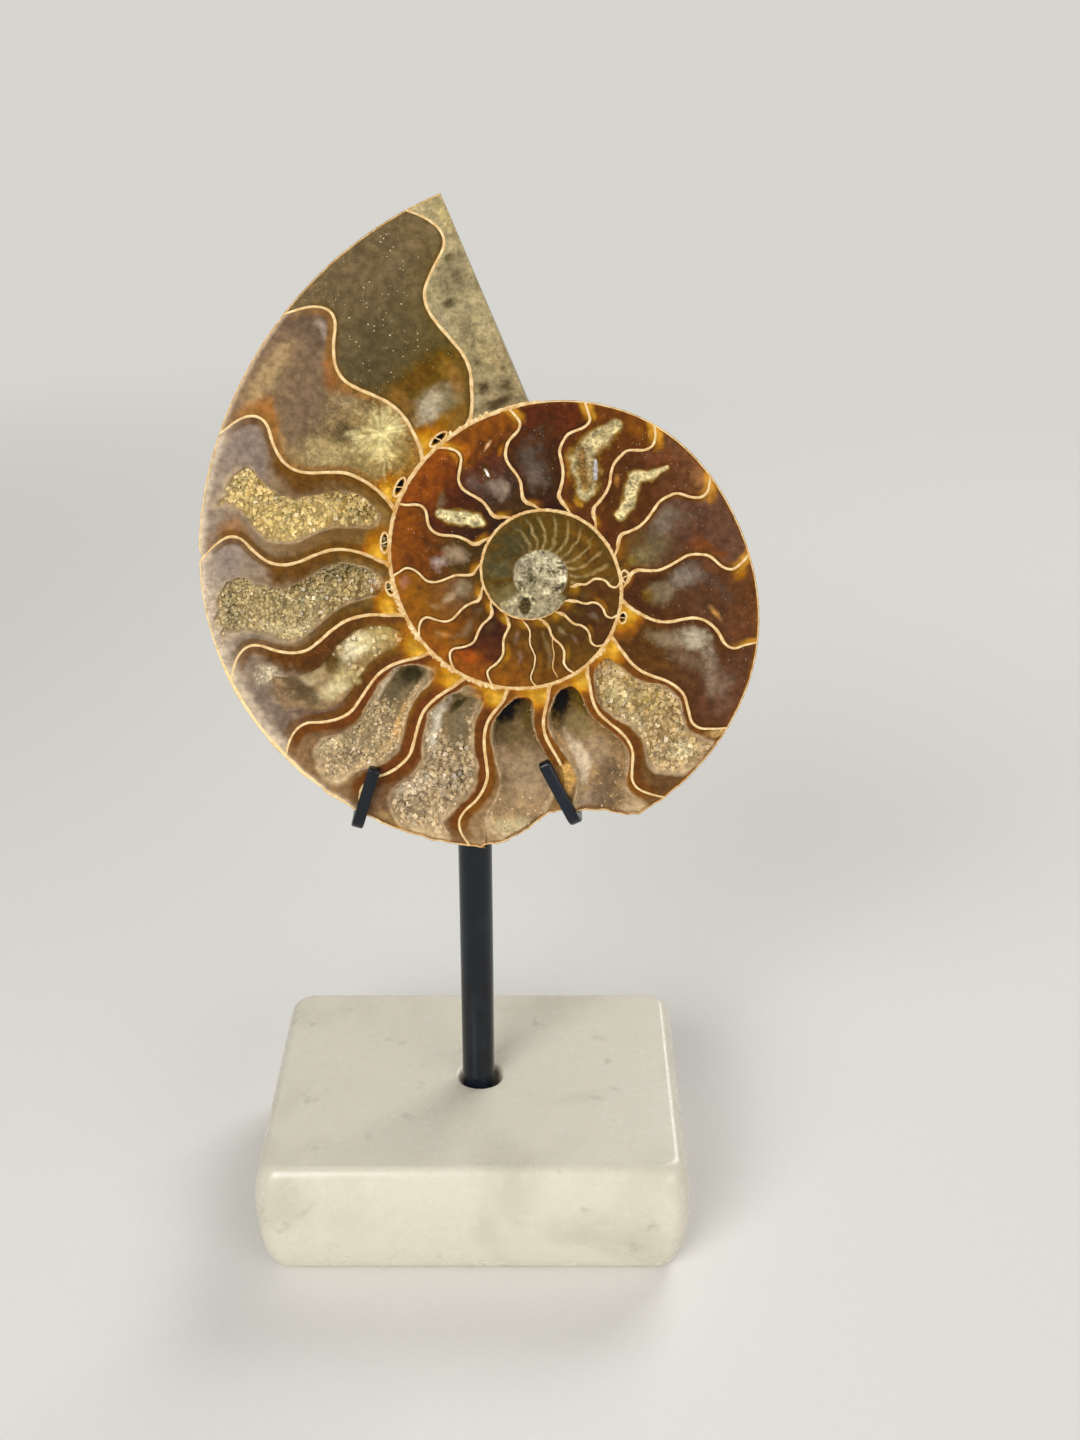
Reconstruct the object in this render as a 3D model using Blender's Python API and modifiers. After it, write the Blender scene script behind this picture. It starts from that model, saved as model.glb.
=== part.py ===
"""Half of a sawn and polished ammonite, held upright in a black metal cradle on a marble block.

Four pieces, in metres, +Z up, with the origin at the middle of the block's underside and the
polished face looking along -Y: marble_base, post, cradle_bar and ammonite_half.
The shell is one solid. Its whorls follow one list of radii, and everything on the face is placed
by how far round the spiral it is (degrees back from the shell's mouth) and how far it lies
between the whorl's inner wall (0) and outer wall (1).
"""

import math

import bmesh
import bpy
import numpy as np
from mathutils import Vector, noise

MM = 0.001
GAP = 0.0003

# Marble block: outline half sizes, corner radius, and how far the wall stands out or in by height.
BASE_HALF_LENGTH = 0.050
BASE_HALF_DEPTH = 0.0385
BASE_HEIGHT = 0.031
BASE_CORNER = 0.0050
POINTS_PER_CORNER = 6
BASE_WALL_MM = (
    (0.0, -4.2), (0.9, -2.6), (2.5, -1.3), (5.0, -0.2), (9.0, 0.7), (14.0, 1.3),
    (19.0, 1.5), (23.0, 1.4), (26.5, 0.9), (29.0, 0.1), (30.4, -0.8), (31.0, -1.6),
)
HOLE_X = 0.0011
HOLE_RADIUS = 0.0052
HOLE_DEPTH = 0.022
HOLE_CHAMFER = 0.0007

# Post: a round rod that stands in the hole and ends where the shell's back bulges out to it.
POST_X = 0.0006
POST_RADIUS = 0.0040
POST_TOP = 0.1340
POST_EDGE = 0.0005
ROUND_SEGMENTS = 32

# Cradle: one flat bar, bent at both ends into a prong, fixed across the front of the post.
BAR_WIDTH = 0.0032
BAR_THICKNESS = 0.0022
BAR_EDGE = 0.0004
BAR_BEND = 0.0022
BEND_STEPS = 5
PRONG_FEET = ((-0.0250, 0.1108), (0.0240, 0.1116))
PRONG_TIPS = ((-0.0204, 0.1254), (0.0168, 0.1264))

# Shell: where it sits, and the radius of its wall every 45 degrees back from the mouth.
FACE_Y = -0.0165
CENTRE_X = 0.0153
CENTRE_Z = 0.1693
MOUTH_ANGLE = 105.0
WALL_STEP = 45.0
WALL_RADII_MM = (
    94.0, 81.5, 73.1, 71.3, 68.4, 62.6, 52.8, 44.3, 40.9, 36.8, 33.5, 29.6, 27.3,
    24.1, 19.8, 17.1, 15.8, 14.5, 12.7, 11.3, 10.2, 8.9, 7.7, 6.8, 6.0,
)
SAW_TIP = (-0.0035, 0.2490)
SAW_FOOT = (0.0135, 0.2075)

# Half cross-section of a whorl behind the face, from the seam on the whorl inside it to the outer
# wall, as parts of the wall's radius and of the whorl's thickness.
THICKNESS_PER_RADIUS = 0.20
WHORL_SECTION = (
    (0.20, 0.48), (0.205, 0.62), (0.235, 0.83), (0.285, 0.96), (0.35, 1.00), (0.46, 0.965),
    (0.58, 0.865), (0.70, 0.71), (0.81, 0.53), (0.90, 0.345), (0.96, 0.185), (0.99, 0.08),
    (1.00, 0.00),
)
# An older whorl shows only up to this place in its section, where the next whorl covers it.
SHOWN_IN_UMBILICUS = 5
COLUMNS = 120
TURNS_SHOWN = 2.3
# Ribs swell from this place in the section out to the wall.
RIB_START = 0.30
RIB_COLUMNS = 4
RIB_HEIGHT = 0.00045

# Outer whorl: angle of each septum that bounds an open chamber, and the bend that they share,
# in degrees along the whorl against the place between its inner and outer wall.
SEPTA = (44.3, 66.2, 87.8, 107.3, 125.9, 147.3, 167.7, 188.2, 211.2)
SEPTUM_BEND = (
    (0.0, 5.5), (0.05, 4.4), (0.20, 1.2), (0.365, 0.0), (0.50, 2.1), (0.655, 5.2),
    (0.78, 2.5), (0.87, 0.4), (0.95, 1.2), (1.0, 4.0),
)
# One open pocket in each chamber: depth at its outer and inner end, its side nearer the mouth and
# its far side as parts of the chamber's width, and its inner and outer end between the walls.
POCKETS = (
    (0.0018, 0.0034, 0.26, 0.74, 0.13, 0.92),
    (0.0022, 0.0040, 0.24, 0.80, 0.11, 0.93),
    (0.0010, 0.0018, 0.22, 0.78, 0.12, 0.90),
    (0.0026, 0.0050, 0.18, 0.74, 0.12, 0.93),
    (0.0024, 0.0048, 0.18, 0.84, 0.10, 0.94),
    (0.0014, 0.0078, 0.17, 0.84, 0.09, 0.94),
    (0.0014, 0.0080, 0.16, 0.86, 0.09, 0.94),
    (0.0020, 0.0034, 0.16, 0.84, 0.10, 0.93),
)
POCKET_BALL = (22, 12)
TUBE_HOLE_BALL = (10, 6)
POCKET_LEAN = 0.10
POCKET_SQUARENESS = 3.0
FLOOR_FULLNESS = 0.6
CUTTER_PROUD = 0.0012
# A cutter's widest ring stands this part of its proud height off the face.
EQUATOR_PROUD = 0.05
ON_EQUATOR = 1e-6
LUMP_SIZE = 0.0035
LUMP_HEIGHT = 0.0009
# Gaps of the feeding tube that runs along the second whorl's wall: angle and half length, degrees.
TUBE_HOLES = ((18.8, 2.6), (40.0, 2.8), (61.3, 3.0), (79.5, 2.0), (228.8, 2.6), (255.8, 3.4))
TUBE_HOLE_HALF_WIDTH = 0.0006
TUBE_HOLE_CLEAR = 0.0011
TUBE_HOLE_DEPTH = 0.0012

# The broken stretch of rim at the foot of the shell, from left to right.
NOTCH_MM = (
    (1.5, 100.0), (3.0, 104.6), (7.0, 105.6), (11.0, 107.2), (14.5, 110.0), (18.0, 112.4),
    (21.0, 113.5), (27.0, 113.9), (33.0, 113.1), (38.5, 112.3), (44.0, 111.5), (44.0, 100.0),
)


def clear_scene():
    for obj in list(bpy.data.objects):
        bpy.data.objects.remove(obj, do_unlink=True)


def new_collection(name):
    collection = bpy.data.collections.new(name)
    bpy.context.scene.collection.children.link(collection)
    return collection


def principled(name, colour, roughness):
    material = bpy.data.materials.new(name)
    material.use_nodes = True
    shader = material.node_tree.nodes["Principled BSDF"]
    shader.inputs["Base Color"].default_value = (*colour, 1.0)
    shader.inputs["Roughness"].default_value = roughness
    return material


def add_object(name, bm, collection, material=None):
    """An object from a bmesh, its faces turned outwards and its curved faces shaded smooth."""
    bmesh.ops.recalc_face_normals(bm, faces=bm.faces)
    if bm.calc_volume(signed=True) < 0:
        bmesh.ops.reverse_faces(bm, faces=bm.faces)
    mesh = bpy.data.meshes.new(name)
    bm.to_mesh(mesh)
    bm.free()
    mesh.shade_smooth()
    mesh.set_sharp_from_angle(angle=math.radians(35.0))
    if material:
        mesh.materials.append(material)
    obj = bpy.data.objects.new(name, mesh)
    collection.objects.link(obj)
    return obj


def add_cutter(name, bm, collection):
    """A helper solid that is joined to, or cut from, another piece."""
    obj = add_object(name, bm, collection)
    obj.hide_render = True
    obj.display_type = "WIRE"
    return obj


def add_boolean(obj, operation, operand):
    modifier = obj.modifiers.new(f"{operation.lower()} {operand.name}", "BOOLEAN")
    modifier.operation = operation
    modifier.solver = "EXACT"
    modifier.object = operand


def loft(rings):
    """A closed bmesh skin over a row of rings that have equal numbers of points."""
    bm = bmesh.new()
    made = [[bm.verts.new(point) for point in ring] for ring in rings]
    for ring, following in zip(made, made[1:]):
        for k in range(len(ring)):
            after = (k + 1) % len(ring)
            bm.faces.new((ring[k], ring[after], following[after], following[k]))
    bm.faces.new(made[0])
    bm.faces.new(made[-1])
    return bm


def smooth_through(knots, place):
    """A smooth curve through evenly spaced knots, read at a place counted in knots."""
    first = min(max(int(place), 1), len(knots) - 3)
    f = place - first
    before, start, end, after = knots[first - 1 : first + 3]
    bend = 2 * before - 5 * start + 4 * end - after
    return start + f / 2 * (end - before + f * (bend + f * (3 * (start - end) + after - before)))


# --- the marble block, the post and the cradle ------------------------------------------------


def rounded_rectangle(half_length, half_depth, radius, z):
    points = []
    for corner in range(4):
        side_x = 1 if corner in (0, 3) else -1
        side_y = 1 if corner in (0, 1) else -1
        for k in range(POINTS_PER_CORNER):
            angle = math.radians(90.0 * (corner + k / (POINTS_PER_CORNER - 1)))
            x = side_x * (half_length - radius) + radius * math.cos(angle)
            y = side_y * (half_depth - radius) + radius * math.sin(angle)
            points.append((x, y, z))
    return points


def cylinder(radius_low, radius_high, z_low, z_high):
    bm = bmesh.new()
    bmesh.ops.create_cone(
        bm,
        cap_ends=True,
        segments=ROUND_SEGMENTS,
        radius1=radius_low,
        radius2=radius_high,
        depth=z_high - z_low,
    )
    bmesh.ops.translate(bm, verts=bm.verts, vec=(0, 0, (z_low + z_high) / 2))
    return bm


def make_base(parts, cutters, marble):
    rings = []
    for z, out in BASE_WALL_MM:
        length = BASE_HALF_LENGTH + out * MM
        depth = BASE_HALF_DEPTH + out * MM
        rings.append(rounded_rectangle(length, depth, BASE_CORNER + out * MM / 2, z * MM))
    base = add_object("marble_base", loft(rings), parts, marble)

    over = 0.001
    floor = BASE_HEIGHT - HOLE_DEPTH
    hole = cylinder(HOLE_RADIUS, HOLE_RADIUS, floor, BASE_HEIGHT + over)
    hole = add_cutter("post_hole", hole, cutters)
    rim = cylinder(
        HOLE_RADIUS - over,
        HOLE_RADIUS + HOLE_CHAMFER + over,
        BASE_HEIGHT - HOLE_CHAMFER - over,
        BASE_HEIGHT + over,
    )
    rim = add_cutter("hole_chamfer", rim, cutters)
    for cutter in (hole, rim):
        cutter.location.x = HOLE_X
        add_boolean(base, "DIFFERENCE", cutter)


def make_post(parts, black_paint):
    foot = BASE_HEIGHT - HOLE_DEPTH + GAP
    post = cylinder(POST_RADIUS, POST_RADIUS, 0, POST_TOP - foot)
    post = add_object("post", post, parts, black_paint)
    post.location = (POST_X, 0, foot)
    bevel = post.modifiers.new("eased ends", "BEVEL")
    bevel.width = POST_EDGE
    bevel.segments = 2
    bevel.limit_method = "ANGLE"
    bevel.angle_limit = math.radians(60.0)


def hook_path(foot, tip, inward):
    """Centre points and across-the-bar directions, from a prong's tip round to the post."""
    back = Vector((0, 1, 0))
    foot = Vector((foot[0], FACE_Y - GAP - BAR_THICKNESS / 2, foot[1]))
    tip = Vector((tip[0], foot.y, tip[1]))
    prong = (tip - foot).normalized()
    across = back.cross(prong) * inward
    weld_height = (PRONG_FEET[0][1] + PRONG_FEET[1][1]) / 2
    weld = Vector((POST_X, -POST_RADIUS - GAP - BAR_WIDTH / 2, weld_height))
    corner = Vector((foot.x, weld.y, foot.z))
    to_post = (weld - corner).normalized()

    path = [(tip, across)]
    bends = ((foot, prong, back, across, across), (corner, -back, to_post, across, -back))
    for place, start, end, across_start, across_end in bends:
        for k in range(BEND_STEPS + 1):
            turn = math.radians(90.0 * k / BEND_STEPS)
            leg_in = start * BAR_BEND * (1 - math.sin(turn))
            leg_out = end * BAR_BEND * (1 - math.cos(turn))
            if across_start == across_end:
                width = across_start
            else:
                width = across_start * math.cos(turn) + across_end * math.sin(turn)
            path.append((place + leg_in + leg_out, width))
    path.append((weld, -back))
    return path


def make_cradle(parts, black_paint):
    left = hook_path(PRONG_FEET[0], PRONG_TIPS[0], 1)
    right = hook_path(PRONG_FEET[1], PRONG_TIPS[1], -1)
    path = left + right[-2::-1]
    half_w, half_t, edge = BAR_WIDTH / 2, BAR_THICKNESS / 2, BAR_EDGE
    outline = (
        (half_w, half_t - edge), (half_w - edge, half_t), (edge - half_w, half_t),
        (-half_w, half_t - edge), (-half_w, edge - half_t), (edge - half_w, -half_t),
        (half_w - edge, -half_t), (half_w, edge - half_t),
    )
    rings = []
    for k, (centre, width) in enumerate(path):
        along = (path[min(k + 1, len(path) - 1)][0] - path[max(k - 1, 0)][0]).normalized()
        width = (width - along * width.dot(along)).normalized()
        thick = along.cross(width)
        rings.append([centre + width * a + thick * b for a, b in outline])
    add_object("cradle_bar", loft(rings), parts, black_paint)


# --- the shell --------------------------------------------------------------------------------


def wall_radius(turned):
    """Radius of the shell's spiral wall, at an angle counted back from the mouth."""
    logs = [math.log(radius * MM) for radius in WALL_RADII_MM]
    return math.exp(smooth_through(logs, turned / WALL_STEP + 1))


def on_face(turned, radius):
    angle = math.radians(MOUTH_ANGLE + turned)
    return CENTRE_X + radius * math.cos(angle), CENTRE_Z + radius * math.sin(angle)


def saw_lean(radius):
    """Angle back from the mouth at which the straight saw cut lies, at this radius.

    The cut passes to one side of the spiral's centre, so nearer in than that its lean is held.
    """
    nearest = 1.3
    along = np.subtract(SAW_FOOT, SAW_TIP)
    along /= np.linalg.norm(along)
    normal = np.array((-along[1], along[0]))
    distance = normal @ np.subtract(SAW_FOOT, (CENTRE_X, CENTRE_Z))
    facing = math.degrees(math.atan2(normal[1], normal[0]))
    beside = math.degrees(math.acos(distance / max(radius, nearest * distance)))
    return facing + beside - MOUTH_ANGLE


def flank_point(column, part, height):
    """A point of the shell's back, on a section that leans as the saw cut does."""
    turn = 360.0 * column / COLUMNS
    radius = part * wall_radius(turn)
    rounds_to_settle = 12
    for _ in range(rounds_to_settle):
        turned = saw_lean(radius) + turn
        radius = part * wall_radius(turned)
    x, z = on_face(turned, radius)
    size = wall_radius(turned)
    flank = math.sin(math.pi * min(max((part - RIB_START) / (1 - RIB_START), 0.0), 1.0))
    rib = RIB_HEIGHT * flank * math.cos(2 * math.pi * column / RIB_COLUMNS)
    rib *= size / wall_radius(0.0)
    return x, FACE_Y + height * THICKNESS_PER_RADIUS * size + rib, z


def make_body():
    """The shell's closed skin: one strip that winds inwards, each turn sewn to the turn inside it.

    The first turn runs from the seam to the outer wall. Each further turn shows only in the
    umbilicus, up to the seam that covers it.
    """
    bm = bmesh.new()
    columns = []
    for column in range(int(COLUMNS * TURNS_SHOWN) + 1):
        outer_turn = column <= COLUMNS
        section = WHORL_SECTION if outer_turn else WHORL_SECTION[:SHOWN_IN_UMBILICUS]
        verts = [bm.verts.new(flank_point(column, *place)) for place in section]
        if column >= COLUMNS:
            verts.insert(SHOWN_IN_UMBILICUS, columns[column - COLUMNS][0])
        columns.append(verts)

    first, last_whole = columns[0], columns[COLUMNS]
    for column, (verts, following) in enumerate(zip(columns, columns[1:])):
        if column == COLUMNS - 1:
            seam = SHOWN_IN_UMBILICUS
            bm.faces.new((*verts[seam - 1 : seam + 1], *following[seam + 1 : seam - 2 : -1]))
            following = following[:seam] + following[seam + 1 :]
        for k in range(min(len(verts), len(following)) - 1):
            if column == COLUMNS - 1 and k == SHOWN_IN_UMBILICUS - 1:
                continue
            bm.faces.new((verts[k], verts[k + 1], following[k + 1], following[k]))

    bm.faces.new([verts[-1] for verts in columns[: COLUMNS + 1]])
    bm.faces.new(first + last_whole[: SHOWN_IN_UMBILICUS : -1])

    navel = [verts[0] for verts in columns[-COLUMNS:]]
    ring = navel + columns[-1][1:]
    middle = sum((vert.co for vert in ring), Vector()) / len(ring)
    middle.y = min(vert.co.y for vert in ring)
    apex = bm.verts.new(middle)
    for vert, after in zip(ring, ring[1:] + ring[:1]):
        bm.faces.new((vert, after, apex))
    return bm


def septum(number, part):
    """Angle of a septum at a part of the way from the whorl's inner wall to its outer one."""
    parts, bends = zip(*SEPTUM_BEND)
    return SEPTA[number] + float(np.interp(part, parts, bends))


def in_chamber(number, across, part):
    """A point on the face inside an open chamber."""
    turned = septum(number, part) * (1 - across) + septum(number + 1, part) * across
    inner, outer = wall_radius(turned + 360.0), wall_radius(turned)
    return on_face(turned, inner * (outer / inner) ** part)


def press_ball(segments, rings, place, depth):
    """A hollow's cutter: a ball pressed into an outline on the face, with its far half as the floor.

    place and depth take how far along and across the hollow a point lies, each from -1 to 1.
    """
    square = POCKET_SQUARENESS
    bm = bmesh.new()
    bmesh.ops.create_uvsphere(bm, u_segments=segments, v_segments=rings, radius=1.0)
    for vert in bm.verts:
        across, along, down = vert.co
        reach = math.hypot(across, along)
        spread = (abs(across) ** square + abs(along) ** square) ** (1 / square)
        fuller = reach / spread if spread > 0 else 1.0
        x, z = place(along * fuller, across * fuller)
        if down > ON_EQUATOR:
            y = FACE_Y + depth(along, x, z) * down**FLOOR_FULLNESS
        else:
            y = FACE_Y + CUTTER_PROUD * (down - EQUATOR_PROUD)
        vert.co = (x, y, z)
    return bm


def make_pocket(number, depth_out, depth_in, near, far, inner, outer):
    """An open chamber's bean-shaped hollow, with a lumpy floor that deepens inwards."""

    def place(along, across):
        part = (inner + outer) / 2 + (outer - inner) / 2 * along
        middle = (near + far) / 2 + POCKET_LEAN * along
        return in_chamber(number, middle + (far - near) / 2 * across, part)

    def depth(along, x, z):
        lump = noise.noise(Vector((x, number, z)) / LUMP_SIZE) * LUMP_HEIGHT
        return depth_in + (depth_out - depth_in) * (along + 1) / 2 + lump

    return press_ball(*POCKET_BALL, place, depth)


def make_tube_hole(turned, half_length):
    def place(along, across):
        angle = turned + half_length * along
        outward = TUBE_HOLE_CLEAR + TUBE_HOLE_HALF_WIDTH * across
        return on_face(angle, wall_radius(angle + 360.0) + outward)

    return press_ball(*TUBE_HOLE_BALL, place, lambda along, x, z: TUBE_HOLE_DEPTH)


def make_notch():
    """The rim's broken edge, as a prism that takes the missing rim away."""
    front, back = FACE_Y - 0.004, FACE_Y + 0.026
    return loft([[(x * MM, y, z * MM) for x, z in NOTCH_MM] for y in (front, back)])


def make_shell(parts, cutters, polished_stone):
    shell = add_object("ammonite_half", make_body(), parts, polished_stone)
    add_boolean(shell, "DIFFERENCE", add_cutter("broken_rim", make_notch(), cutters))
    for number, pocket in enumerate(POCKETS):
        bm = make_pocket(number, *pocket)
        add_boolean(shell, "DIFFERENCE", add_cutter(f"pocket_{number + 1}", bm, cutters))
    for number, hole in enumerate(TUBE_HOLES):
        bm = make_tube_hole(*hole)
        add_boolean(shell, "DIFFERENCE", add_cutter(f"tube_hole_{number + 1}", bm, cutters))


def main():
    clear_scene()
    parts = new_collection("ammonite_half_on_stand")
    cutters = new_collection("cutters")
    marble = principled("ivory marble", (0.78, 0.73, 0.62), 0.28)
    black_paint = principled("black gloss paint", (0.012, 0.013, 0.015), 0.22)
    polished_stone = principled("polished fossil shell", (0.33, 0.19, 0.10), 0.18)
    make_base(parts, cutters, marble)
    make_post(parts, black_paint)
    make_cradle(parts, black_paint)
    make_shell(parts, cutters, polished_stone)


main()
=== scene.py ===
"""Looks of the ammonite fossil half on its stand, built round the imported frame.

The polished face is laid out in the shell's own spiral. Every spot has a place round the spiral
(degrees back from the mouth) and a part across the whorl (0 at its inner wall, 1 at its outer
wall). A chamber lies between two septa, and inside it a spot also has a place across: 0 at the
septum nearer the mouth, 1 at the next one.
"""

import functools
import math

import bmesh
import bpy
import numpy as np
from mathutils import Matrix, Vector


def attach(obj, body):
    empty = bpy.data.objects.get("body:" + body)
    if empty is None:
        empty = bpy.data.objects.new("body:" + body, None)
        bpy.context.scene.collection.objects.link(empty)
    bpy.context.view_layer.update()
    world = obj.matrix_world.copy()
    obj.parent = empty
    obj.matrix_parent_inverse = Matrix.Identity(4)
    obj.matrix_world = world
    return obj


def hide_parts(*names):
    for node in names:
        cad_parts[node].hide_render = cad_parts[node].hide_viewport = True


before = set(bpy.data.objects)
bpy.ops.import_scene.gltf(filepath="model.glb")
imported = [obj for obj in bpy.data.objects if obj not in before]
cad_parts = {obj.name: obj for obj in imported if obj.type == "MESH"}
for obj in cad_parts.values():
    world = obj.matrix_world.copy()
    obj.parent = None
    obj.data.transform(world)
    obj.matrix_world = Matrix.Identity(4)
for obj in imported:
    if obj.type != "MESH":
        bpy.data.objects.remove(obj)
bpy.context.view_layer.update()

MM = 0.001

# --- the shell's spiral, as the frame's own shell has it ---

FACE_Y = -0.0165
JUST_BEHIND = 0.00002
CENTRE_X = 0.0153
CENTRE_Z = 0.1693
MOUTH_ANGLE = 105.0
WALL_STEP = 45.0
# A fitting program printed the 21 radii from 81.5 to 8.9.
WALL_RADII_MM = (
    94.0, 81.5, 73.1, 71.3, 68.4, 62.6, 52.8, 44.3, 40.9, 36.8, 33.5, 29.6, 27.3, 24.1, 19.8,
    17.1, 15.8, 14.5, 12.7, 11.3, 10.2, 8.9, 7.7, 6.8, 6.0, 5.4, 4.8, 4.3, 3.8, 3.4, 3.0, 2.6,
    2.3, 2.0, 1.8,
)
WALL_LOGS = np.log(np.array(WALL_RADII_MM) * MM)
SAW_TIP = (-0.0035, 0.2490)
SAW_FOOT = (0.0135, 0.2075)
THICKNESS_PER_RADIUS = 0.20
WHORL_SECTION = (
    (0.20, 0.48), (0.205, 0.62), (0.235, 0.83), (0.285, 0.96), (0.35, 1.00), (0.46, 0.965),
    (0.58, 0.865), (0.70, 0.71), (0.81, 0.53), (0.90, 0.345), (0.96, 0.185), (0.99, 0.08),
    (1.00, 0.00),
)
SHOWN_IN_UMBILICUS = 4
RIB_START = 0.30
RIB_DEGREES = 12.0
RIB_HEIGHT = 0.00070
TURNS_SHOWN = 2.3

# Broken stretch of rim, left to right, in mm.
NOTCH_MM = (
    (1.5, 100.0), (3.0, 104.6), (7.0, 105.6), (11.0, 107.2), (14.5, 110.0), (18.0, 112.4),
    (21.0, 113.5), (27.0, 113.9), (33.0, 113.1), (38.5, 112.3), (44.0, 111.5),
)
CHIP_TURN = 71.0
CHIP_HALF_WIDTH = 0.8
CHIP_DEPTH = 0.0007
RIM_END = 330.0
SETTLING_STEPS = 12

# Place of each septum round the spiral, and its bend: degrees at each of BEND_PARTS. A tracing program
# printed 407 of the 448 bends, and the others were changed.
SEPTA = (
    2.0, 22.7, 44.3, 66.2, 87.8, 107.3, 125.9, 147.3, 167.7, 188.2, 211.2, 233.2, 258.6, 282.7,
    307.1, 330.7, 353.6, 378.2, 404.7, 432.3, 457.3, 476.8, 497.0, 518.5, 538.5, 560.5, 583.0,
    606.0,
)
BEND_PARTS = (
    0.0, 0.04, 0.08, 0.13, 0.2, 0.3, 0.4, 0.5, 0.58, 0.66, 0.73, 0.79, 0.84, 0.89, 0.94, 1.0,
)
SEPTUM_BENDS = (
    (6.0, 4.1, 3.1, 2.0, 1.0, -0.1, 0.3, 1.9, 3.2, 3.9, 3.1, 0.3, -2.2, -2.4, -1.1, 1.6),
    (4.9, 3.7, 2.6, 1.8, 0.9, 0.2, 0.7, 2.4, 4.0, 4.9, 4.0, 1.6, -1.0, -1.4, 0.3, 4.6),
    (3.9, 2.8, 1.9, 1.1, 0.3, 0.0, 0.5, 2.6, 4.5, 5.4, 4.6, 2.4, -0.2, -0.7, 0.8, 5.2),
    (3.9, 2.9, 2.1, 1.3, 0.4, -0.1, 0.6, 2.7, 4.7, 5.7, 5.1, 3.0, 0.9, 0.8, 2.6, 6.2),
    (4.1, 3.3, 2.6, 2.1, 0.9, 0.2, 0.6, 2.4, 4.3, 5.6, 5.1, 3.5, 1.7, 1.4, 3.0, 6.9),
    (4.2, 3.9, 3.5, 2.8, 1.4, 0.2, 0.5, 2.2, 3.8, 5.0, 4.5, 3.1, 1.5, 1.4, 2.5, 4.8),
    (5.3, 4.4, 3.8, 3.2, 1.8, 0.5, 0.5, 2.1, 3.7, 4.9, 4.5, 3.3, 1.5, 0.8, 1.6, 4.4),
    (4.0, 3.7, 3.5, 3.1, 1.5, -0.1, 0.2, 1.7, 3.3, 4.5, 4.2, 3.1, 1.5, 0.9, 1.9, 4.7),
    (3.9, 3.3, 2.8, 2.2, 1.1, -0.2, 0.1, 1.9, 3.6, 4.6, 4.4, 3.0, 1.3, 0.9, 1.8, 4.7),
    (5.5, 4.3, 3.1, 2.6, 1.4, 0.1, 0.3, 2.1, 3.8, 4.7, 4.2, 2.3, 0.9, 1.1, 2.9, 5.8),
    (3.9, 3.6, 3.1, 2.2, 1.4, 0.3, 0.4, 1.9, 3.5, 4.2, 3.6, 1.2, -0.7, -0.5, 1.4, 4.1),
    (6.4, 5.2, 3.9, 2.8, 1.9, 1.0, 1.2, 3.1, 5.4, 6.9, 6.5, 4.5, 1.5, 1.1, 2.9, 4.7),
    (-11.3, -8.8, -5.5, -1.4, 0.8, 0.4, 0.2, 1.9, 3.8, 5.4, 5.1, 3.8, 0.2, -0.9, 0.5, 3.3),
    (-11.7, -9.4, -7.1, -3.1, 0.3, 0.2, 0.2, 1.8, 3.8, 5.6, 5.6, 4.6, 1.4, -0.2, 0.6, 4.5),
    (-11.9, -9.5, -7.3, -3.2, -0.2, 0.1, 0.3, 1.6, 3.9, 5.2, 4.8, 3.7, -0.4, -1.7, -0.7, 2.1),
    (-13.4, -10.3, -7.6, -3.8, -0.3, 0.1, 0.3, 1.5, 3.2, 4.6, 3.9, 2.3, -2.0, -3.4, -2.1, -0.1),
    (-12.2, -9.0, -6.6, -2.2, 0.4, 0.6, 0.5, 2.0, 3.9, 5.0, 4.2, 2.1, -1.7, -2.8, -1.6, 0.3),
    (-12.5, -9.6, -6.5, -2.4, 0.1, 0.3, 0.5, 2.3, 4.1, 4.9, 3.5, -0.1, -2.4, -2.5, -0.8, 2.8),
    (-13.1, -10.2, -6.5, -2.0, 0.7, 0.6, 1.1, 2.8, 4.6, 5.0, 3.0, -2.0, -3.1, -2.2, -0.4, 0.8),
    (-13.3, -9.5, -6.2, -1.7, 0.1, 0.5, 0.8, 3.0, 4.5, 5.2, 4.0, 0.0, -1.7, -1.7, 0.1, 2.1),
    (-13.9, -11.0, -7.4, -3.5, -0.2, -0.1, 0.3, 2.0, 3.9, 5.1, 4.2, 1.4, -1.3, -1.3, 0.8, 5.8),
    (-14.7, -11.9, -8.7, -4.0, -0.7, 0.3, 0.5, 2.0, 3.9, 5.3, 4.3, 2.4, 0.4, 0.5, 3.0, 8.4),
    (-14.4, -10.3, -6.8, -4.2, -0.8, 0.2, 0.5, 2.0, 4.0, 5.3, 4.8, 3.6, 2.0, 1.7, 3.6, 6.7),
    (-14.0, -11.0, -8.0, -5.0, -2.0, 0.1, 0.3, 1.5, 3.6, 5.3, 5.2, 4.8, 3.9, 3.2, 4.0, 7.0),
    (-11.8, -8.8, -5.6, -4.2, -1.8, -0.2, 0.1, 1.9, 4.4, 5.8, 5.7, 4.4, 3.3, 3.7, 4.9, 7.3),
    (-8.7, -6.8, -5.3, -3.3, -0.9, 0.3, 1.0, 2.6, 5.6, 6.9, 6.8, 5.3, 3.3, 3.2, 4.5, 8.4),
    (-9.6, -7.4, -5.2, -3.9, -1.9, 0.6, 1.5, 3.6, 6.8, 8.0, 7.3, 5.3, 2.5, 1.9, 2.9, 7.0),
    (-7.0, -5.6, -5.3, -4.0, -1.0, 0.3, 1.0, 4.4, 7.6, 8.0, 7.5, 6.0, 2.7, 1.7, 2.3, 6.4),
)
FIRST_INNER_SEPTUM = 13
FIRST_INNER_CHAMBER = FIRST_INNER_SEPTUM - 1
LAST_SEPTUM = len(SEPTA)
COIL_END = 1035.0
WALL_SHOWN_TO = 922.0
CORE_MIDDLE = (0.0161, 0.1697)
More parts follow.
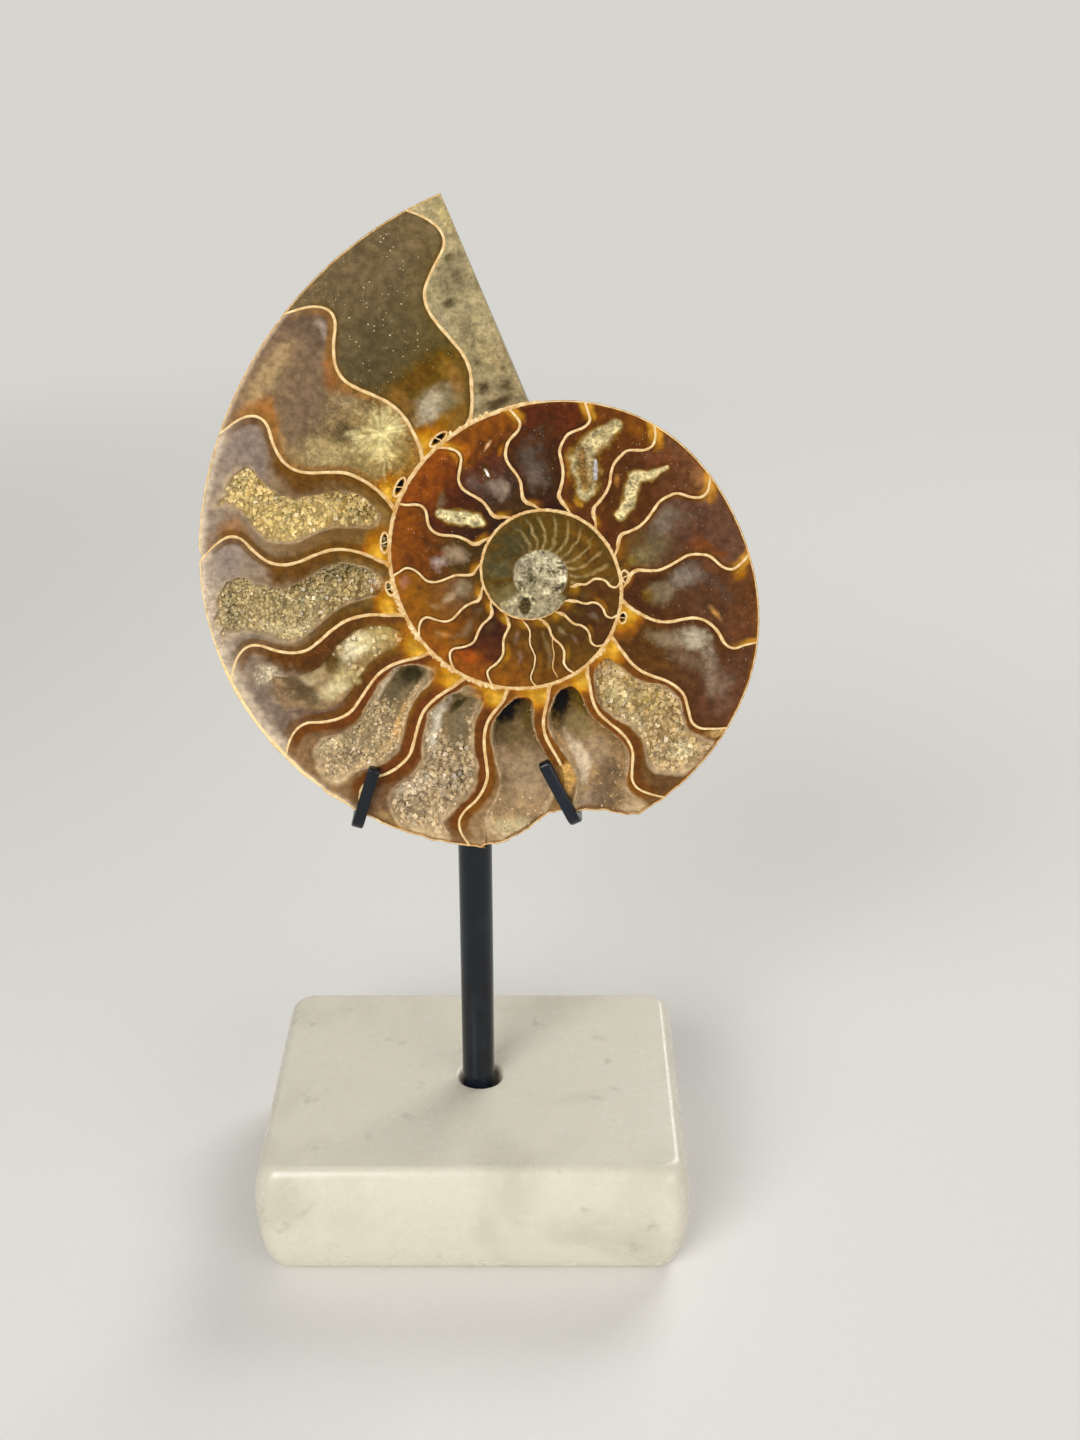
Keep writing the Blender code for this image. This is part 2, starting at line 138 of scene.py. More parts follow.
CORE_RADIUS = 0.00575

# Open chambers: depth at the outer and inner end, near and far side across, inner and outer end.
POCKETS = {
    3: (0.0018, 0.0034, 0.26, 0.74, 0.13, 0.92),
    4: (0.0022, 0.0040, 0.24, 0.82, 0.11, 0.97),
    5: (0.0010, 0.0018, 0.24, 0.80, 0.12, 0.90),
    6: (0.0026, 0.0050, 0.15, 0.78, 0.12, 0.94),
    7: (0.0024, 0.0048, 0.14, 0.84, 0.10, 0.98),
    8: (0.0014, 0.0078, 0.15, 0.86, 0.09, 0.97),
    9: (0.0014, 0.0080, 0.14, 0.88, 0.09, 0.97),
    10: (0.0020, 0.0034, 0.14, 0.86, 0.10, 0.97),
}
POCKET_LEAN = 0.10
POCKET_SQUARENESS = 3.0
TUBE_HOLES = ((18.8, 2.6), (40.0, 2.8), (61.3, 3.0), (79.5, 2.0), (228.8, 2.6), (255.8, 3.4))
TUBE_HOLE_CLEAR = 0.0011
TUBE_HOLE_HALF_WIDTH = 0.0006
TUBE_HOLE_DEPTH = 0.0012
LAST_OPEN_CHAMBER = max(POCKETS)
DEEP_POCKETS = (8, 9)
RUBBLE_POCKETS = (6, 7)


def through_knots(knots, first, f):
    """The smooth curve through the knots, the share f of the way from this one to the next."""
    before, start, end, after = (knots[first + k] for k in (-1, 0, 1, 2))
    bend = 2 * before - 5 * start + 4 * end - after
    rise = end - before + f * (bend + f * (3 * (start - end) + after - before))
    return start + f / 2 * rise


def wall_radius(turned):
    """Radius of the spiral wall, at an angle counted back from the mouth."""
    place = np.asarray(turned, float) / WALL_STEP + 1
    first = np.clip(place.astype(int), 1, len(WALL_LOGS) - 3)
    return np.exp(through_knots(WALL_LOGS, first, place - first))


def on_face(turned, radius):
    angle = np.radians(MOUTH_ANGLE + turned)
    return CENTRE_X + radius * np.cos(angle), CENTRE_Z + radius * np.sin(angle)


def whorl_spot(turned, part):
    """Where a spot of the whorl lies on the face."""
    inner, outer = wall_radius(turned + 360.0), wall_radius(turned)
    return on_face(turned, inner * (outer / inner) ** part)


def saw_lean(radius):
    """Angle back from the mouth at which the straight saw cut lies, at this radius."""
    nearest = 1.3
    along = np.subtract(SAW_FOOT, SAW_TIP)
    along /= np.linalg.norm(along)
    normal = np.array((-along[1], along[0]))
    distance = normal @ np.subtract(SAW_FOOT, (CENTRE_X, CENTRE_Z))
    facing = math.degrees(math.atan2(normal[1], normal[0]))
    beside = np.degrees(np.arccos(distance / np.maximum(radius, nearest * distance)))
    return facing + beside - MOUTH_ANGLE


def smooth_between(value, places, levels):
    """A smooth curve through levels at the given places, read at each value."""
    places, levels = np.array(places), np.array(levels)
    slopes = np.gradient(levels, places)
    first = np.clip(np.searchsorted(places, value) - 1, 0, len(places) - 2)
    width = places[first + 1] - places[first]
    f = np.clip((value - places[first]) / width, 0, 1)
    start, end = levels[first], levels[first + 1]
    rise_start, rise_end = slopes[first] * width, slopes[first + 1] * width
    eased = f * f * (3 - 2 * f)
    leaving, arriving = f * (1 - f) ** 2, f * f * (f - 1)
    return start + (end - start) * eased + rise_start * leaving + rise_end * arriving


def septum_turn(number, part):
    """Place round the spiral of a septum, at a part of the way across the whorl."""
    return SEPTA[number - 1] + smooth_between(part, BEND_PARTS, SEPTUM_BENDS[number - 1])


def saw_turn(part):
    """Place round the spiral of the saw cut across the mouth."""
    turned = np.zeros_like(part)
    for _ in range(SETTLING_STEPS):
        inner, outer = wall_radius(turned + 360.0), wall_radius(turned)
        turned = saw_lean(inner * (outer / inner) ** part)
    return turned


# --- smooth noise ---

LATTICE = 32


def smooth_noise(points, size, seed, octaves=1):
    """Noise of about -1 to 1 at points (n, 3), with swells about `size` metres across."""
    total = np.zeros(len(points))
    for octave in range(octaves):
        table = np.random.default_rng(seed + 101 * octave).uniform(-1, 1, (LATTICE,) * 3)
        place = np.asarray(points) / size * 2.0**octave + 0.37 * seed
        cell = np.floor(place).astype(int)
        f = place - cell
        f = f * f * (3 - 2 * f)
        for corner in range(8):
            step = np.array((corner & 1, corner >> 1 & 1, corner >> 2))
            weight = np.prod(np.where(step, f, 1 - f), axis=1)
            x, y, z = ((cell + step) % LATTICE).T
            total += weight * table[x, y, z] * 0.5**octave
    return total


def smoothstep(low, high, value):
    f = np.clip((value - low) / (high - low), 0, 1)
    return f * f * (3 - 2 * f)


def rim_limit(turned):
    """Radius of the shell's real edge: the outer wall, less what is broken off."""
    turned = np.asarray(turned, float)
    notch_x, notch_z = np.array(NOTCH_MM).T * MM
    angles = np.degrees(np.arctan2(notch_z - CENTRE_Z, notch_x - CENTRE_X)) % 360 - MOUTH_ANGLE
    radii = np.hypot(notch_x - CENTRE_X, notch_z - CENTRE_Z)
    order = np.argsort(angles)
    limit = np.interp(turned, angles[order], radii[order], left=1.0, right=1.0)
    spots = np.stack([turned * 0.0011, turned * 0, turned * 0], -1).reshape(-1, 3)
    ragged = smooth_noise(spots, 0.0022, 5, 3).reshape(turned.shape)
    limit = limit - 0.0003 + 0.00045 * ragged
    wall = wall_radius(turned)
    rough = smoothstep(98, 125, turned) * smoothstep(215, 190, turned)
    wall = wall - 0.00022 * rough * (1 + ragged)
    wall = wall - CHIP_DEPTH * np.exp(-(((turned - CHIP_TURN) / CHIP_HALF_WIDTH) ** 2))
    return np.minimum(wall, limit)


def part_limit(turned):
    """Part across the whorl at which the shell's real edge lies."""
    inner, outer = wall_radius(turned + 360.0), wall_radius(turned)
    edge = np.where(turned < RIM_END, rim_limit(np.minimum(turned, RIM_END)), outer)
    return np.log(edge / inner) / np.log(outer / inner)


# --- tones of the fillings ---


def linear(code):
    """An sRGB hex colour as linear red, green and blue."""
    parts = [int(code[k : k + 2], 16) / 255 for k in (1, 3, 5)]
    return [c / 12.92 if c <= 0.04045 else ((c + 0.055) / 1.055) ** 2.4 for c in parts]


# What fills each chamber: its tone at four parts across the whorl (0.1, 0.4, 0.7, 0.95), the
# brown calcite beside its septa, and how wide that band is in mm. Programs that compared tones
# wrote 84 of these 145 tones, and sampled tones were at hand when the others were chosen.
GROUND_PARTS = (0.1, 0.4, 0.7, 0.95)
FILLING = {
    0: ("#978563", "#a4936c", "#a5956f", "#ad9c74", "#8b8063", 0.5),
    1: ("#84602f", "#5c4a28", "#62553c", "#776449", "#664d2a", 0.9),
    2: ("#8f6a34", "#967c4e", "#7e6850", "#8a7058", "#8f6434", 1.5),
    3: ("#7d5e34", "#725534", "#856c50", "#a18c78", "#6a4418", 1.6),
    # The pale grey-pink tones at 0.95 in chambers 3, 4 and 5 are painted reflection of light, as the
    # rim band is.
    4: ("#7a5d34", "#6b5030", "#84694c", "#b0a08c", "#684218", 1.6),
    5: ("#77521c", "#6b4a26", "#6e5340", "#a08c76", "#663c14", 2.1),
    6: ("#764a17", "#734c1f", "#75543a", "#8c6c4c", "#6e3c12", 2.2),
    7: ("#7a5020", "#765024", "#7a5238", "#806046", "#6c3c12", 2.3),
    8: ("#855619", "#7c562b", "#896745", "#a48662", "#794719", 2.0),
    9: ("#8d5d14", "#7c5725", "#8d6b47", "#7f5d3e", "#7b4817", 1.9),
    10: ("#906418", "#785426", "#74502a", "#6e4e34", "#70421a", 2.0),
    11: ("#5c3a1a", "#5a3a20", "#5c3c2a", "#603e2e", "#5c3616", 1.1),
    12: ("#543312", "#4e3120", "#5d3e2e", "#68412c", "#5d3818", 0.9),
    13: ("#6f4b24", "#5f4530", "#614134", "#6a493a", "#653f20", 0.9),
    14: ("#5c341b", "#58361f", "#5a3625", "#6e4832", "#5a3216", 0.7),
    15: ("#5b351a", "#5b391c", "#5d371c", "#6b3d16", "#5f3312", 0.7),
    16: ("#3f2914", "#462f25", "#4b2f23", "#5b2f0d", "#492914", 0.7),
    17: ("#47311f", "#4b3731", "#593429", "#834b16", "#513515", 0.6),
    18: ("#3c2812", "#422a1a", "#5a2f16", "#8c4a12", "#4a2a10", 0.6),
    19: ("#4a351d", "#553e27", "#6a3c1d", "#884c15", "#5d3d13", 0.6),
    20: ("#5e4427", "#705037", "#7e5028", "#935b1b", "#633c19", 0.6),
    21: ("#583b1e", "#583a22", "#7c4a1a", "#96580c", "#583614", 0.6),
    22: ("#42280b", "#43270f", "#5b320f", "#8f510b", "#4a2907", 0.6),
    23: ("#5f3e16", "#654424", "#72481a", "#87520c", "#61420f", 0.5),
    24: ("#603f12", "#5c411e", "#634114", "#754b14", "#583a0f", 0.4),
    25: ("#64471d", "#5e4327", "#5d3f1f", "#684711", "#543912", 0.4),
    26: ("#523610", "#4e3619", "#523417", "#54360b", "#492f0a", 0.4),
    27: ("#51350f", "#573a1b", "#593711", "#60400d", "#4d350b", 0.4),
    28: ("#6a512b", "#5d431f", "#593e1a", "#62481f", "#513814", 0.3),
}

# Patches inside the fillings: chamber, place across, part, half extents, tone, strength.
PATCHES = (
    (0, 0.50, 0.06, 0.35, 0.045, "#4e3f2c", 0.95), (0, 0.25, 0.14, 0.16, 0.05, "#55472f", 0.85),
    (0, 0.75, 0.17, 0.16, 0.06, "#4f3d2a", 0.9), (0, 0.35, 0.33, 0.30, 0.10, "#a8936a", 0.7),
    (0, 0.60, 0.50, 0.22, 0.09, "#85765a", 0.7), (0, 0.40, 0.75, 0.35, 0.12, "#84765a", 0.75),
    (0, 0.30, 0.93, 0.35, 0.05, "#b7a36f", 0.7), (0, 0.62, 0.64, 0.12, 0.02, "#4c4230", 0.9),
    (0, 0.30, 0.72, 0.06, 0.03, "#5c5038", 0.8), (0, 0.52, 0.80, 0.16, 0.015, "#55482f", 0.8),
    (0, 0.45, 0.42, 0.10, 0.02, "#5f543a", 0.8), (0, 0.18, 0.50, 0.05, 0.05, "#b8a888", 0.8),
    (0, 0.74, 0.34, 0.06, 0.03, "#4c4230", 0.85), (0, 0.25, 0.25, 0.07, 0.03, "#4a3f2c", 0.8),
    (0, 0.85, 0.60, 0.10, 0.10, "#a89a78", 0.7), (0, 0.10, 0.62, 0.08, 0.30, "#ab9a74", 0.6),
    (0, 0.36, 0.58, 0.12, 0.05, "#8f8268", 0.7), (0, 0.86, 0.13, 0.10, 0.03, "#b5a784", 0.8),
    (1, 0.50, 0.41, 0.48, 0.09, "#6b4a12", 0.85), (1, 0.20, 0.37, 0.16, 0.06, "#8a6a34", 0.6),
    (1, 0.60, 0.24, 0.32, 0.11, "#ac9b80", 0.95), (1, 0.34, 0.20, 0.20, 0.09, "#857654", 0.8),
    (1, 0.88, 0.36, 0.12, 0.12, "#9a6e3c", 0.5), (1, 0.45, 0.12, 0.30, 0.05, "#8c6024", 0.8),
    (1, 0.62, 0.60, 0.40, 0.14, "#5f543c", 0.6), (1, 0.12, 0.80, 0.14, 0.2, "#74613f", 0.5),
    (1, 0.20, 0.30, 0.08, 0.10, "#a07038", 0.5),
    (2, 0.38, 0.33, 0.30, 0.14, "#c2ae74", 0.8), (2, 0.78, 0.52, 0.18, 0.16, "#b39c6c", 0.85),
    (2, 0.50, 0.50, 0.13, 0.07, "#5f4f38", 0.85), (2, 0.17, 0.61, 0.12, 0.06, "#a48c66", 0.7),
    (2, 0.18, 0.88, 0.18, 0.10, "#6c584a", 0.85), (2, 0.12, 0.86, 0.04, 0.04, "#ab9788", 0.8),
    (2, 0.09, 0.72, 0.10, 0.10, "#a8642c", 0.6), (2, 0.05, 0.60, 0.06, 0.06, "#a05f28", 0.5),
    (2, 0.92, 0.86, 0.12, 0.12, "#b0702e", 0.7), (2, 0.60, 0.93, 0.30, 0.05, "#b1946a", 0.8),
    (2, 0.50, 0.12, 0.35, 0.06, "#8a7648", 0.7), (2, 0.45, 0.72, 0.22, 0.08, "#7a6450", 0.75),
    (2, 0.80, 0.30, 0.12, 0.16, "#8f7a50", 0.7), (2, 0.90, 0.70, 0.08, 0.10, "#a88a5c", 0.6),
    # The grey-pink patches near the rim of chambers 3, 4 and 5 are painted reflection of light.
    (3, 0.20, 0.88, 0.26, 0.12, "#8c7b70", 0.9), (3, 0.60, 0.96, 0.40, 0.04, "#9a8878", 0.7),
    (3, 0.12, 0.60, 0.10, 0.20, "#64401c", 0.8), (3, 0.94, 0.86, 0.11, 0.12, "#9f6a38", 0.6),
    (3, 0.86, 0.48, 0.13, 0.18, "#7c5c36", 0.6), (3, 0.28, 0.10, 0.24, 0.07, "#85683c", 0.7),
    (4, 0.16, 0.90, 0.20, 0.10, "#968478", 0.9), (4, 0.14, 0.78, 0.08, 0.06, "#9c8774", 0.8),
    (4, 0.12, 0.58, 0.10, 0.17, "#603a18", 0.85), (4, 0.88, 0.86, 0.14, 0.12, "#8f7c6a", 0.8),
    (4, 0.50, 0.97, 0.50, 0.04, "#b09c88", 0.8), (4, 0.86, 0.50, 0.10, 0.16, "#5c3f1e", 0.6),
    (5, 0.16, 0.62, 0.16, 0.24, "#5c3818", 0.95), (5, 0.50, 0.90, 0.40, 0.07, "#7c6a5e", 0.85),
    (5, 0.86, 0.78, 0.12, 0.12, "#6a5044", 0.8), (5, 0.88, 0.50, 0.10, 0.24, "#64401a", 0.8),
    (5, 0.34, 0.86, 0.12, 0.06, "#c9b698", 0.9), (5, 0.62, 0.85, 0.09, 0.05, "#b3a084", 0.7),
    (8, 0.95, 0.87, 0.14, 0.16, "#8f7450", 0.95), (9, 0.04, 0.88, 0.14, 0.15, "#9c8058", 0.95),
    (9, 0.06, 0.70, 0.08, 0.13, "#d4a45c", 1.0), (9, 0.04, 0.84, 0.09, 0.06, "#b58c58", 0.9),
    (8, 0.96, 0.72, 0.05, 0.08, "#a87c3c", 0.9), (8, 0.70, 0.95, 0.30, 0.04, "#b89c6c", 0.9),
    (10, 0.95, 0.97, 0.06, 0.05, "#d8b070", 0.9), (7, 0.55, 0.97, 0.35, 0.03, "#b0925c", 0.7),
    (11, 0.70, 0.66, 0.20, 0.13, "#b4a58c", 1.0), (11, 0.68, 0.46, 0.18, 0.18, "#8e7a60", 0.95),
    (11, 0.52, 0.83, 0.20, 0.12, "#88705e", 0.9), (11, 0.42, 0.64, 0.16, 0.12, "#7c644e", 0.8),
    (11, 0.20, 0.52, 0.08, 0.08, "#8a5c30", 0.4), (11, 0.30, 0.93, 0.14, 0.05, "#7c5a48", 0.6),
    (12, 0.70, 0.58, 0.22, 0.16, "#84766a", 0.9), (12, 0.52, 0.40, 0.26, 0.16, "#88765a", 0.9),
    (12, 0.46, 0.28, 0.14, 0.07, "#79581c", 0.7), (12, 0.19, 0.77, 0.06, 0.04, "#c48e50", 0.9),
    (12, 0.62, 0.80, 0.14, 0.08, "#5a463c", 0.6), (12, 0.88, 0.93, 0.10, 0.05, "#b8761c", 0.8),
    (13, 0.70, 0.60, 0.26, 0.18, "#7c6c5c", 0.9), (13, 0.35, 0.32, 0.30, 0.17, "#7c6e4c", 0.9),
    (13, 0.48, 0.46, 0.24, 0.12, "#746449", 0.8), (13, 0.16, 0.78, 0.14, 0.12, "#8a4c24", 0.6),
    (13, 0.90, 0.95, 0.10, 0.05, "#b87a28", 0.7), (13, 0.30, 0.20, 0.12, 0.06, "#8a6c20", 0.5),
    (14, 0.20, 0.95, 0.14, 0.05, "#b0784a", 0.8), (14, 0.70, 0.86, 0.20, 0.07, "#7a4430", 0.6),
    (14, 0.86, 0.56, 0.06, 0.05, "#b87c40", 0.7), (14, 0.94, 0.95, 0.08, 0.06, "#c07a1c", 0.8),
    (15, 0.45, 0.22, 0.16, 0.08, "#c48f34", 0.9), (15, 0.88, 0.48, 0.10, 0.20, "#8b4c14", 0.8),
    (15, 0.30, 0.93, 0.20, 0.05, "#8a5420", 0.7), (15, 0.95, 0.94, 0.06, 0.05, "#c08a34", 0.8),
    (16, 0.58, 0.52, 0.30, 0.28, "#65564e", 0.85), (16, 0.66, 0.40, 0.16, 0.12, "#726356", 0.6),
    (16, 0.20, 0.88, 0.20, 0.08, "#6e3814", 0.6),
    (17, 0.50, 0.46, 0.24, 0.16, "#8a7668", 0.85), (17, 0.76, 0.58, 0.14, 0.14, "#6c5a50", 0.7),
    (17, 0.36, 0.40, 0.10, 0.10, "#a08c78", 0.7), (17, 0.46, 0.81, 0.05, 0.03, "#d0a878", 0.9),
    (17, 0.90, 0.86, 0.12, 0.10, "#a8601a", 0.9), (17, 0.10, 0.74, 0.06, 0.05, "#b06c1c", 0.7),
    (18, 0.50, 0.72, 0.16, 0.07, "#7d6650", 0.8), (18, 0.06, 0.88, 0.06, 0.08, "#b87a2c", 0.8),
    (19, 0.62, 0.58, 0.18, 0.11, "#b39c90", 0.9), (19, 0.44, 0.38, 0.24, 0.17, "#a48c70", 0.9),
    (19, 0.40, 0.56, 0.07, 0.06, "#8a4c40", 0.6), (19, 0.35, 0.82, 0.12, 0.07, "#8a4a28", 0.7),
    (20, 0.50, 0.56, 0.12, 0.12, "#b39672", 0.9), (20, 0.42, 0.34, 0.28, 0.16, "#988468", 0.9),
    (20, 0.22, 0.92, 0.12, 0.05, "#a87058", 0.8), (20, 0.62, 0.70, 0.10, 0.10, "#a88458", 0.6),
    (21, 0.50, 0.82, 0.14, 0.08, "#b5804e", 0.85), (21, 0.60, 0.56, 0.18, 0.20, "#846a4c", 0.8),
    (21, 0.42, 0.30, 0.24, 0.12, "#64503c", 0.6), (21, 0.82, 0.80, 0.08, 0.08, "#8f6a3c", 0.6),
    (22, 0.35, 0.82, 0.34, 0.09, "#a5520c", 0.8), (22, 0.30, 0.34, 0.20, 0.16, "#5c4236", 0.6),
    (23, 0.15, 0.66, 0.12, 0.16, "#a8741c", 0.8), (23, 0.55, 0.66, 0.10, 0.10, "#94705c", 0.7),
    (23, 0.45, 0.38, 0.12, 0.14, "#8a6c54", 0.7), (23, 0.85, 0.50, 0.12, 0.10, "#986c34", 0.7),
    (24, 0.50, 0.70, 0.10, 0.16, "#8e6e4e", 0.7), (24, 0.62, 0.46, 0.10, 0.18, "#8a7050", 0.6),
    (24, 0.15, 0.72, 0.12, 0.14, "#8c5c1c", 0.6),
    (25, 0.42, 0.42, 0.12, 0.10, "#94805c", 0.8), (25, 0.50, 0.66, 0.08, 0.08, "#8a6c58", 0.8),
    (25, 0.12, 0.76, 0.10, 0.10, "#94681c", 0.7),
    (26, 0.55, 0.70, 0.14, 0.12, "#786458", 0.8), (26, 0.14, 0.75, 0.10, 0.08, "#94600c", 0.8),
    (26, 0.50, 0.40, 0.14, 0.14, "#6c5434", 0.6),
    (27, 0.15, 0.72, 0.14, 0.12, "#a86e14", 0.8), (27, 0.40, 0.40, 0.20, 0.20, "#665038", 0.6),
    (28, 0.02, 0.60, 0.05, 0.40, "#6c4816", 0.8), (28, 0.10, 0.78, 0.06, 0.12, "#7c5412", 0.8),
    (28, 0.06, 0.40, 0.06, 0.20, "#7a5c2c", 0.7), (28, 0.18, 0.50, 0.06, 0.45, "#5f4c26", 0.7),
    (28, 0.30, 0.50, 0.09, 0.60, "#4e4630", 0.95), (28, 0.40, 0.50, 0.05, 0.60, "#5e563c", 0.8),
    (28, 0.52, 0.60, 0.07, 0.50, "#857750", 0.8), (28, 0.66, 0.60, 0.10, 0.60, "#8f815a", 0.8),
)

# Floors of the open chambers: tone at the outer and inner end, tone of the crystals, their size
# in mm at the outer and inner end, and how thickly they stand, 0 to 1.
FLOORS = {
    3: ("#b19156", "#9b7d42", "#e1ca8a", 0.70, 0.85, 1.00),
    4: ("#97815a", "#876c40", "#cdb985", 0.60, 0.75, 0.95),
    5: ("#94785a", "#ac905a", "#dfcc98", 0.80, 1.00, 0.42),
    # Painted shade: the dark inner tone of 6 stands for its deep hollow, and the floors of 6 and 7 are
    # darkened for the shade between their crystals.
    6: ("#ae9670", "#5a4a2f", "#d2bd92", 0.62, 0.50, 0.90),
    7: ("#9c8564", "#7a6645", "#d0ba94", 0.95, 0.60, 0.95),
    # Painted shade: the near-black inner tones of 8 and 9 stand for the shade deep in their hollows.
    8: ("#a58864", "#584629", "#d2b686", 0.40, 0.30, 0.03),
    9: ("#a4845c", "#67502a", "#d2b684", 0.40, 0.30, 0.02),
    10: ("#a28458", "#ab8f58", "#d0b784", 0.88, 0.95, 1.05),
}
LUMPY_FLOORS = {5: 1.6, 6: 0.9, 7: 1.6, 10: 2.0}

# Patches on the floors of the open chambers, as the fillings' patches are given; some are painted
# shade and painted highlight, as marked.
FLOOR_PATCHES = (
    # Painted shade: the dark patch at the inner end of 3, and the dark line along its outer edge.
    (3, 0.60, 0.62, 0.30, 0.28, "#c3ae74", 0.6), (3, 0.46, 0.26, 0.13, 0.09, "#57431f", 0.85),
    (3, 0.40, 0.62, 0.12, 0.14, "#a48a50", 0.5), (3, 0.48, 0.91, 0.2, 0.04, "#5c5030", 0.7),
    # Painted shade: the two dark patches at the inner end of 4 and the dark line along its outer edge;
    # painted highlight: the pale line at its inner end.
    (4, 0.36, 0.38, 0.15, 0.12, "#4e3f20", 0.85), (4, 0.32, 0.22, 0.16, 0.08, "#4c3d1e", 0.8),
    (4, 0.78, 0.70, 0.08, 0.16, "#cfc29c", 0.8), (4, 0.50, 0.92, 0.40, 0.035, "#3c3624", 0.85),
    (4, 0.46, 0.14, 0.12, 0.04, "#d0b89c", 0.9), (4, 0.55, 0.55, 0.14, 0.16, "#9a8c64", 0.6),
    (5, 0.44, 0.42, 0.16, 0.12, "#f2e4ba", 1.0), (5, 0.66, 0.64, 0.12, 0.10, "#dccb9c", 0.9),
    (5, 0.42, 0.24, 0.20, 0.08, "#b8a064", 0.9), (5, 0.40, 0.74, 0.12, 0.06, "#ccb892", 0.9),
    (5, 0.38, 0.58, 0.18, 0.05, "#5a4222", 0.9), (5, 0.50, 0.78, 0.22, 0.06, "#5e4a34", 0.85),
    (5, 0.36, 0.70, 0.12, 0.07, "#b09a70", 0.8),
    # Painted highlight on the cream and golden lips of 6, and painted shade in the dark hollow at its
    # inner end.
    (6, 0.19, 0.46, 0.09, 0.16, "#ecd6b4", 1.0), (6, 0.73, 0.54, 0.08, 0.18, "#dcb070", 1.0),
    (6, 0.44, 0.26, 0.20, 0.15, "#3a3324", 0.95), (6, 0.46, 0.42, 0.12, 0.08, "#665c46", 0.7),
    (6, 0.28, 0.86, 0.16, 0.07, "#d8cca4", 0.9), (6, 0.62, 0.86, 0.16, 0.08, "#7c6852", 0.8),
    # Painted highlight on the pale near lip of 7, and painted shade in the dark hollow at its inner
    # end.
    (7, 0.22, 0.48, 0.12, 0.22, "#e6dac2", 1.0), (7, 0.44, 0.29, 0.08, 0.07, "#3c3421", 0.95),
    (7, 0.60, 0.40, 0.14, 0.16, "#837357", 0.9), (7, 0.40, 0.15, 0.24, 0.05, "#d6b880", 0.9),
    (7, 0.35, 0.80, 0.16, 0.08, "#cec0a9", 0.8), (7, 0.70, 0.72, 0.12, 0.08, "#615244", 0.7),
    (7, 0.55, 0.90, 0.30, 0.05, "#6f5b46", 0.6),
    # Painted shade: the near-black hollow at the inner end of 8 and the dark olive round it.
    (8, 0.32, 0.25, 0.20, 0.18, "#14120a", 1.0), (8, 0.70, 0.28, 0.14, 0.15, "#6a5530", 0.9),
    (8, 0.36, 0.44, 0.22, 0.09, "#74603f", 0.8), (8, 0.22, 0.56, 0.12, 0.08, "#b8997a", 0.8),
    (8, 0.60, 0.68, 0.35, 0.14, "#ae9474", 0.8), (8, 0.50, 0.92, 0.40, 0.05, "#c9b68c", 0.9),
    # Painted shade: the near-black hollow at the inner end of 9 and the dark olive round it.
    (9, 0.34, 0.25, 0.22, 0.19, "#181108", 1.0), (9, 0.68, 0.30, 0.14, 0.14, "#6f5829", 0.8),
    (9, 0.50, 0.46, 0.24, 0.12, "#8e7a52", 0.8), (9, 0.52, 0.64, 0.24, 0.10, "#a99070", 0.8),
    (9, 0.26, 0.64, 0.13, 0.18, "#dcc5a6", 0.9), (9, 0.13, 0.60, 0.06, 0.20, "#dfae7c", 0.9),
    (9, 0.42, 0.86, 0.18, 0.08, "#a8927a", 0.8), (9, 0.62, 0.82, 0.24, 0.11, "#6e5844", 0.75),
    (10, 0.40, 0.38, 0.20, 0.14, "#d2c392", 0.8), (10, 0.60, 0.60, 0.16, 0.12, "#b09a58", 0.7),
    (10, 0.40, 0.84, 0.22, 0.06, "#a08c74", 0.7), (10, 0.65, 0.90, 0.16, 0.05, "#ddd0aa", 0.8),
    (10, 0.24, 0.62, 0.08, 0.12, "#ccc09c", 0.7),
)


# --- making meshes and nodes ---


def add_node(tree, kind, sockets=(), **settings):
    """One node with its settings. sockets maps an input to a value, a tone or what feeds it."""
    node = tree.nodes.new(kind)
    for key, value in settings.items():
        setattr(node, key, value)
    for key, value in dict(sockets).items():
        if isinstance(value, bpy.types.Node):
            value = next(output for output in value.outputs if output.enabled)
        if isinstance(value, bpy.types.NodeSocket):
            tree.links.new(value, node.inputs[key])
        elif isinstance(value, str) and value.startswith("#"):
            node.inputs[key].default_value = (*linear(value), 1.0)
        else:
            node.inputs[key].default_value = value
    return node


def put_in_scene(name, data):
    """A new object that holds this data."""
    placed = bpy.data.objects.new(name, data)
    bpy.context.scene.collection.objects.link(placed)
    return placed


def make_piece(name, points, faces, material, edges=(), smooth=True, attributes=()):
    """A mesh object at the origin. attributes maps a name to one number or colour per vertex."""
    mesh = bpy.data.meshes.new(name)
    mesh.from_pydata(np.asarray(points, float).tolist(), list(edges), faces)
    for label, values in dict(attributes).items():
        values = np.asarray(values, np.float32)
        kind = "FLOAT_COLOR" if values.ndim == 2 else "FLOAT"
        layer = mesh.attributes.new(label, kind, "POINT")
        if values.ndim == 2:
            values = np.concatenate([values, np.ones((len(values), 1), np.float32)], axis=1)
            layer.data.foreach_set("color", values.ravel())
        else:
            layer.data.foreach_set("value", values)
    if smooth and faces:
        mesh.shade_smooth()
    if material:
        mesh.materials.append(material)
    return put_in_scene(name, mesh)


def grid_faces(rows, columns, start=0, closed=False):
    """Quads over a grid of points numbered row by row."""
    row, column = np.meshgrid(
        np.arange(rows - 1), np.arange(columns - (0 if closed else 1)), indexing="ij"
    )
    after = (column + 1) % columns
    corners = (
        row * columns + column,
        row * columns + after,
        (row + 1) * columns + after,
        (row + 1) * columns + column,
    )
    return (np.stack([corner.ravel() for corner in corners], -1) + start).tolist()


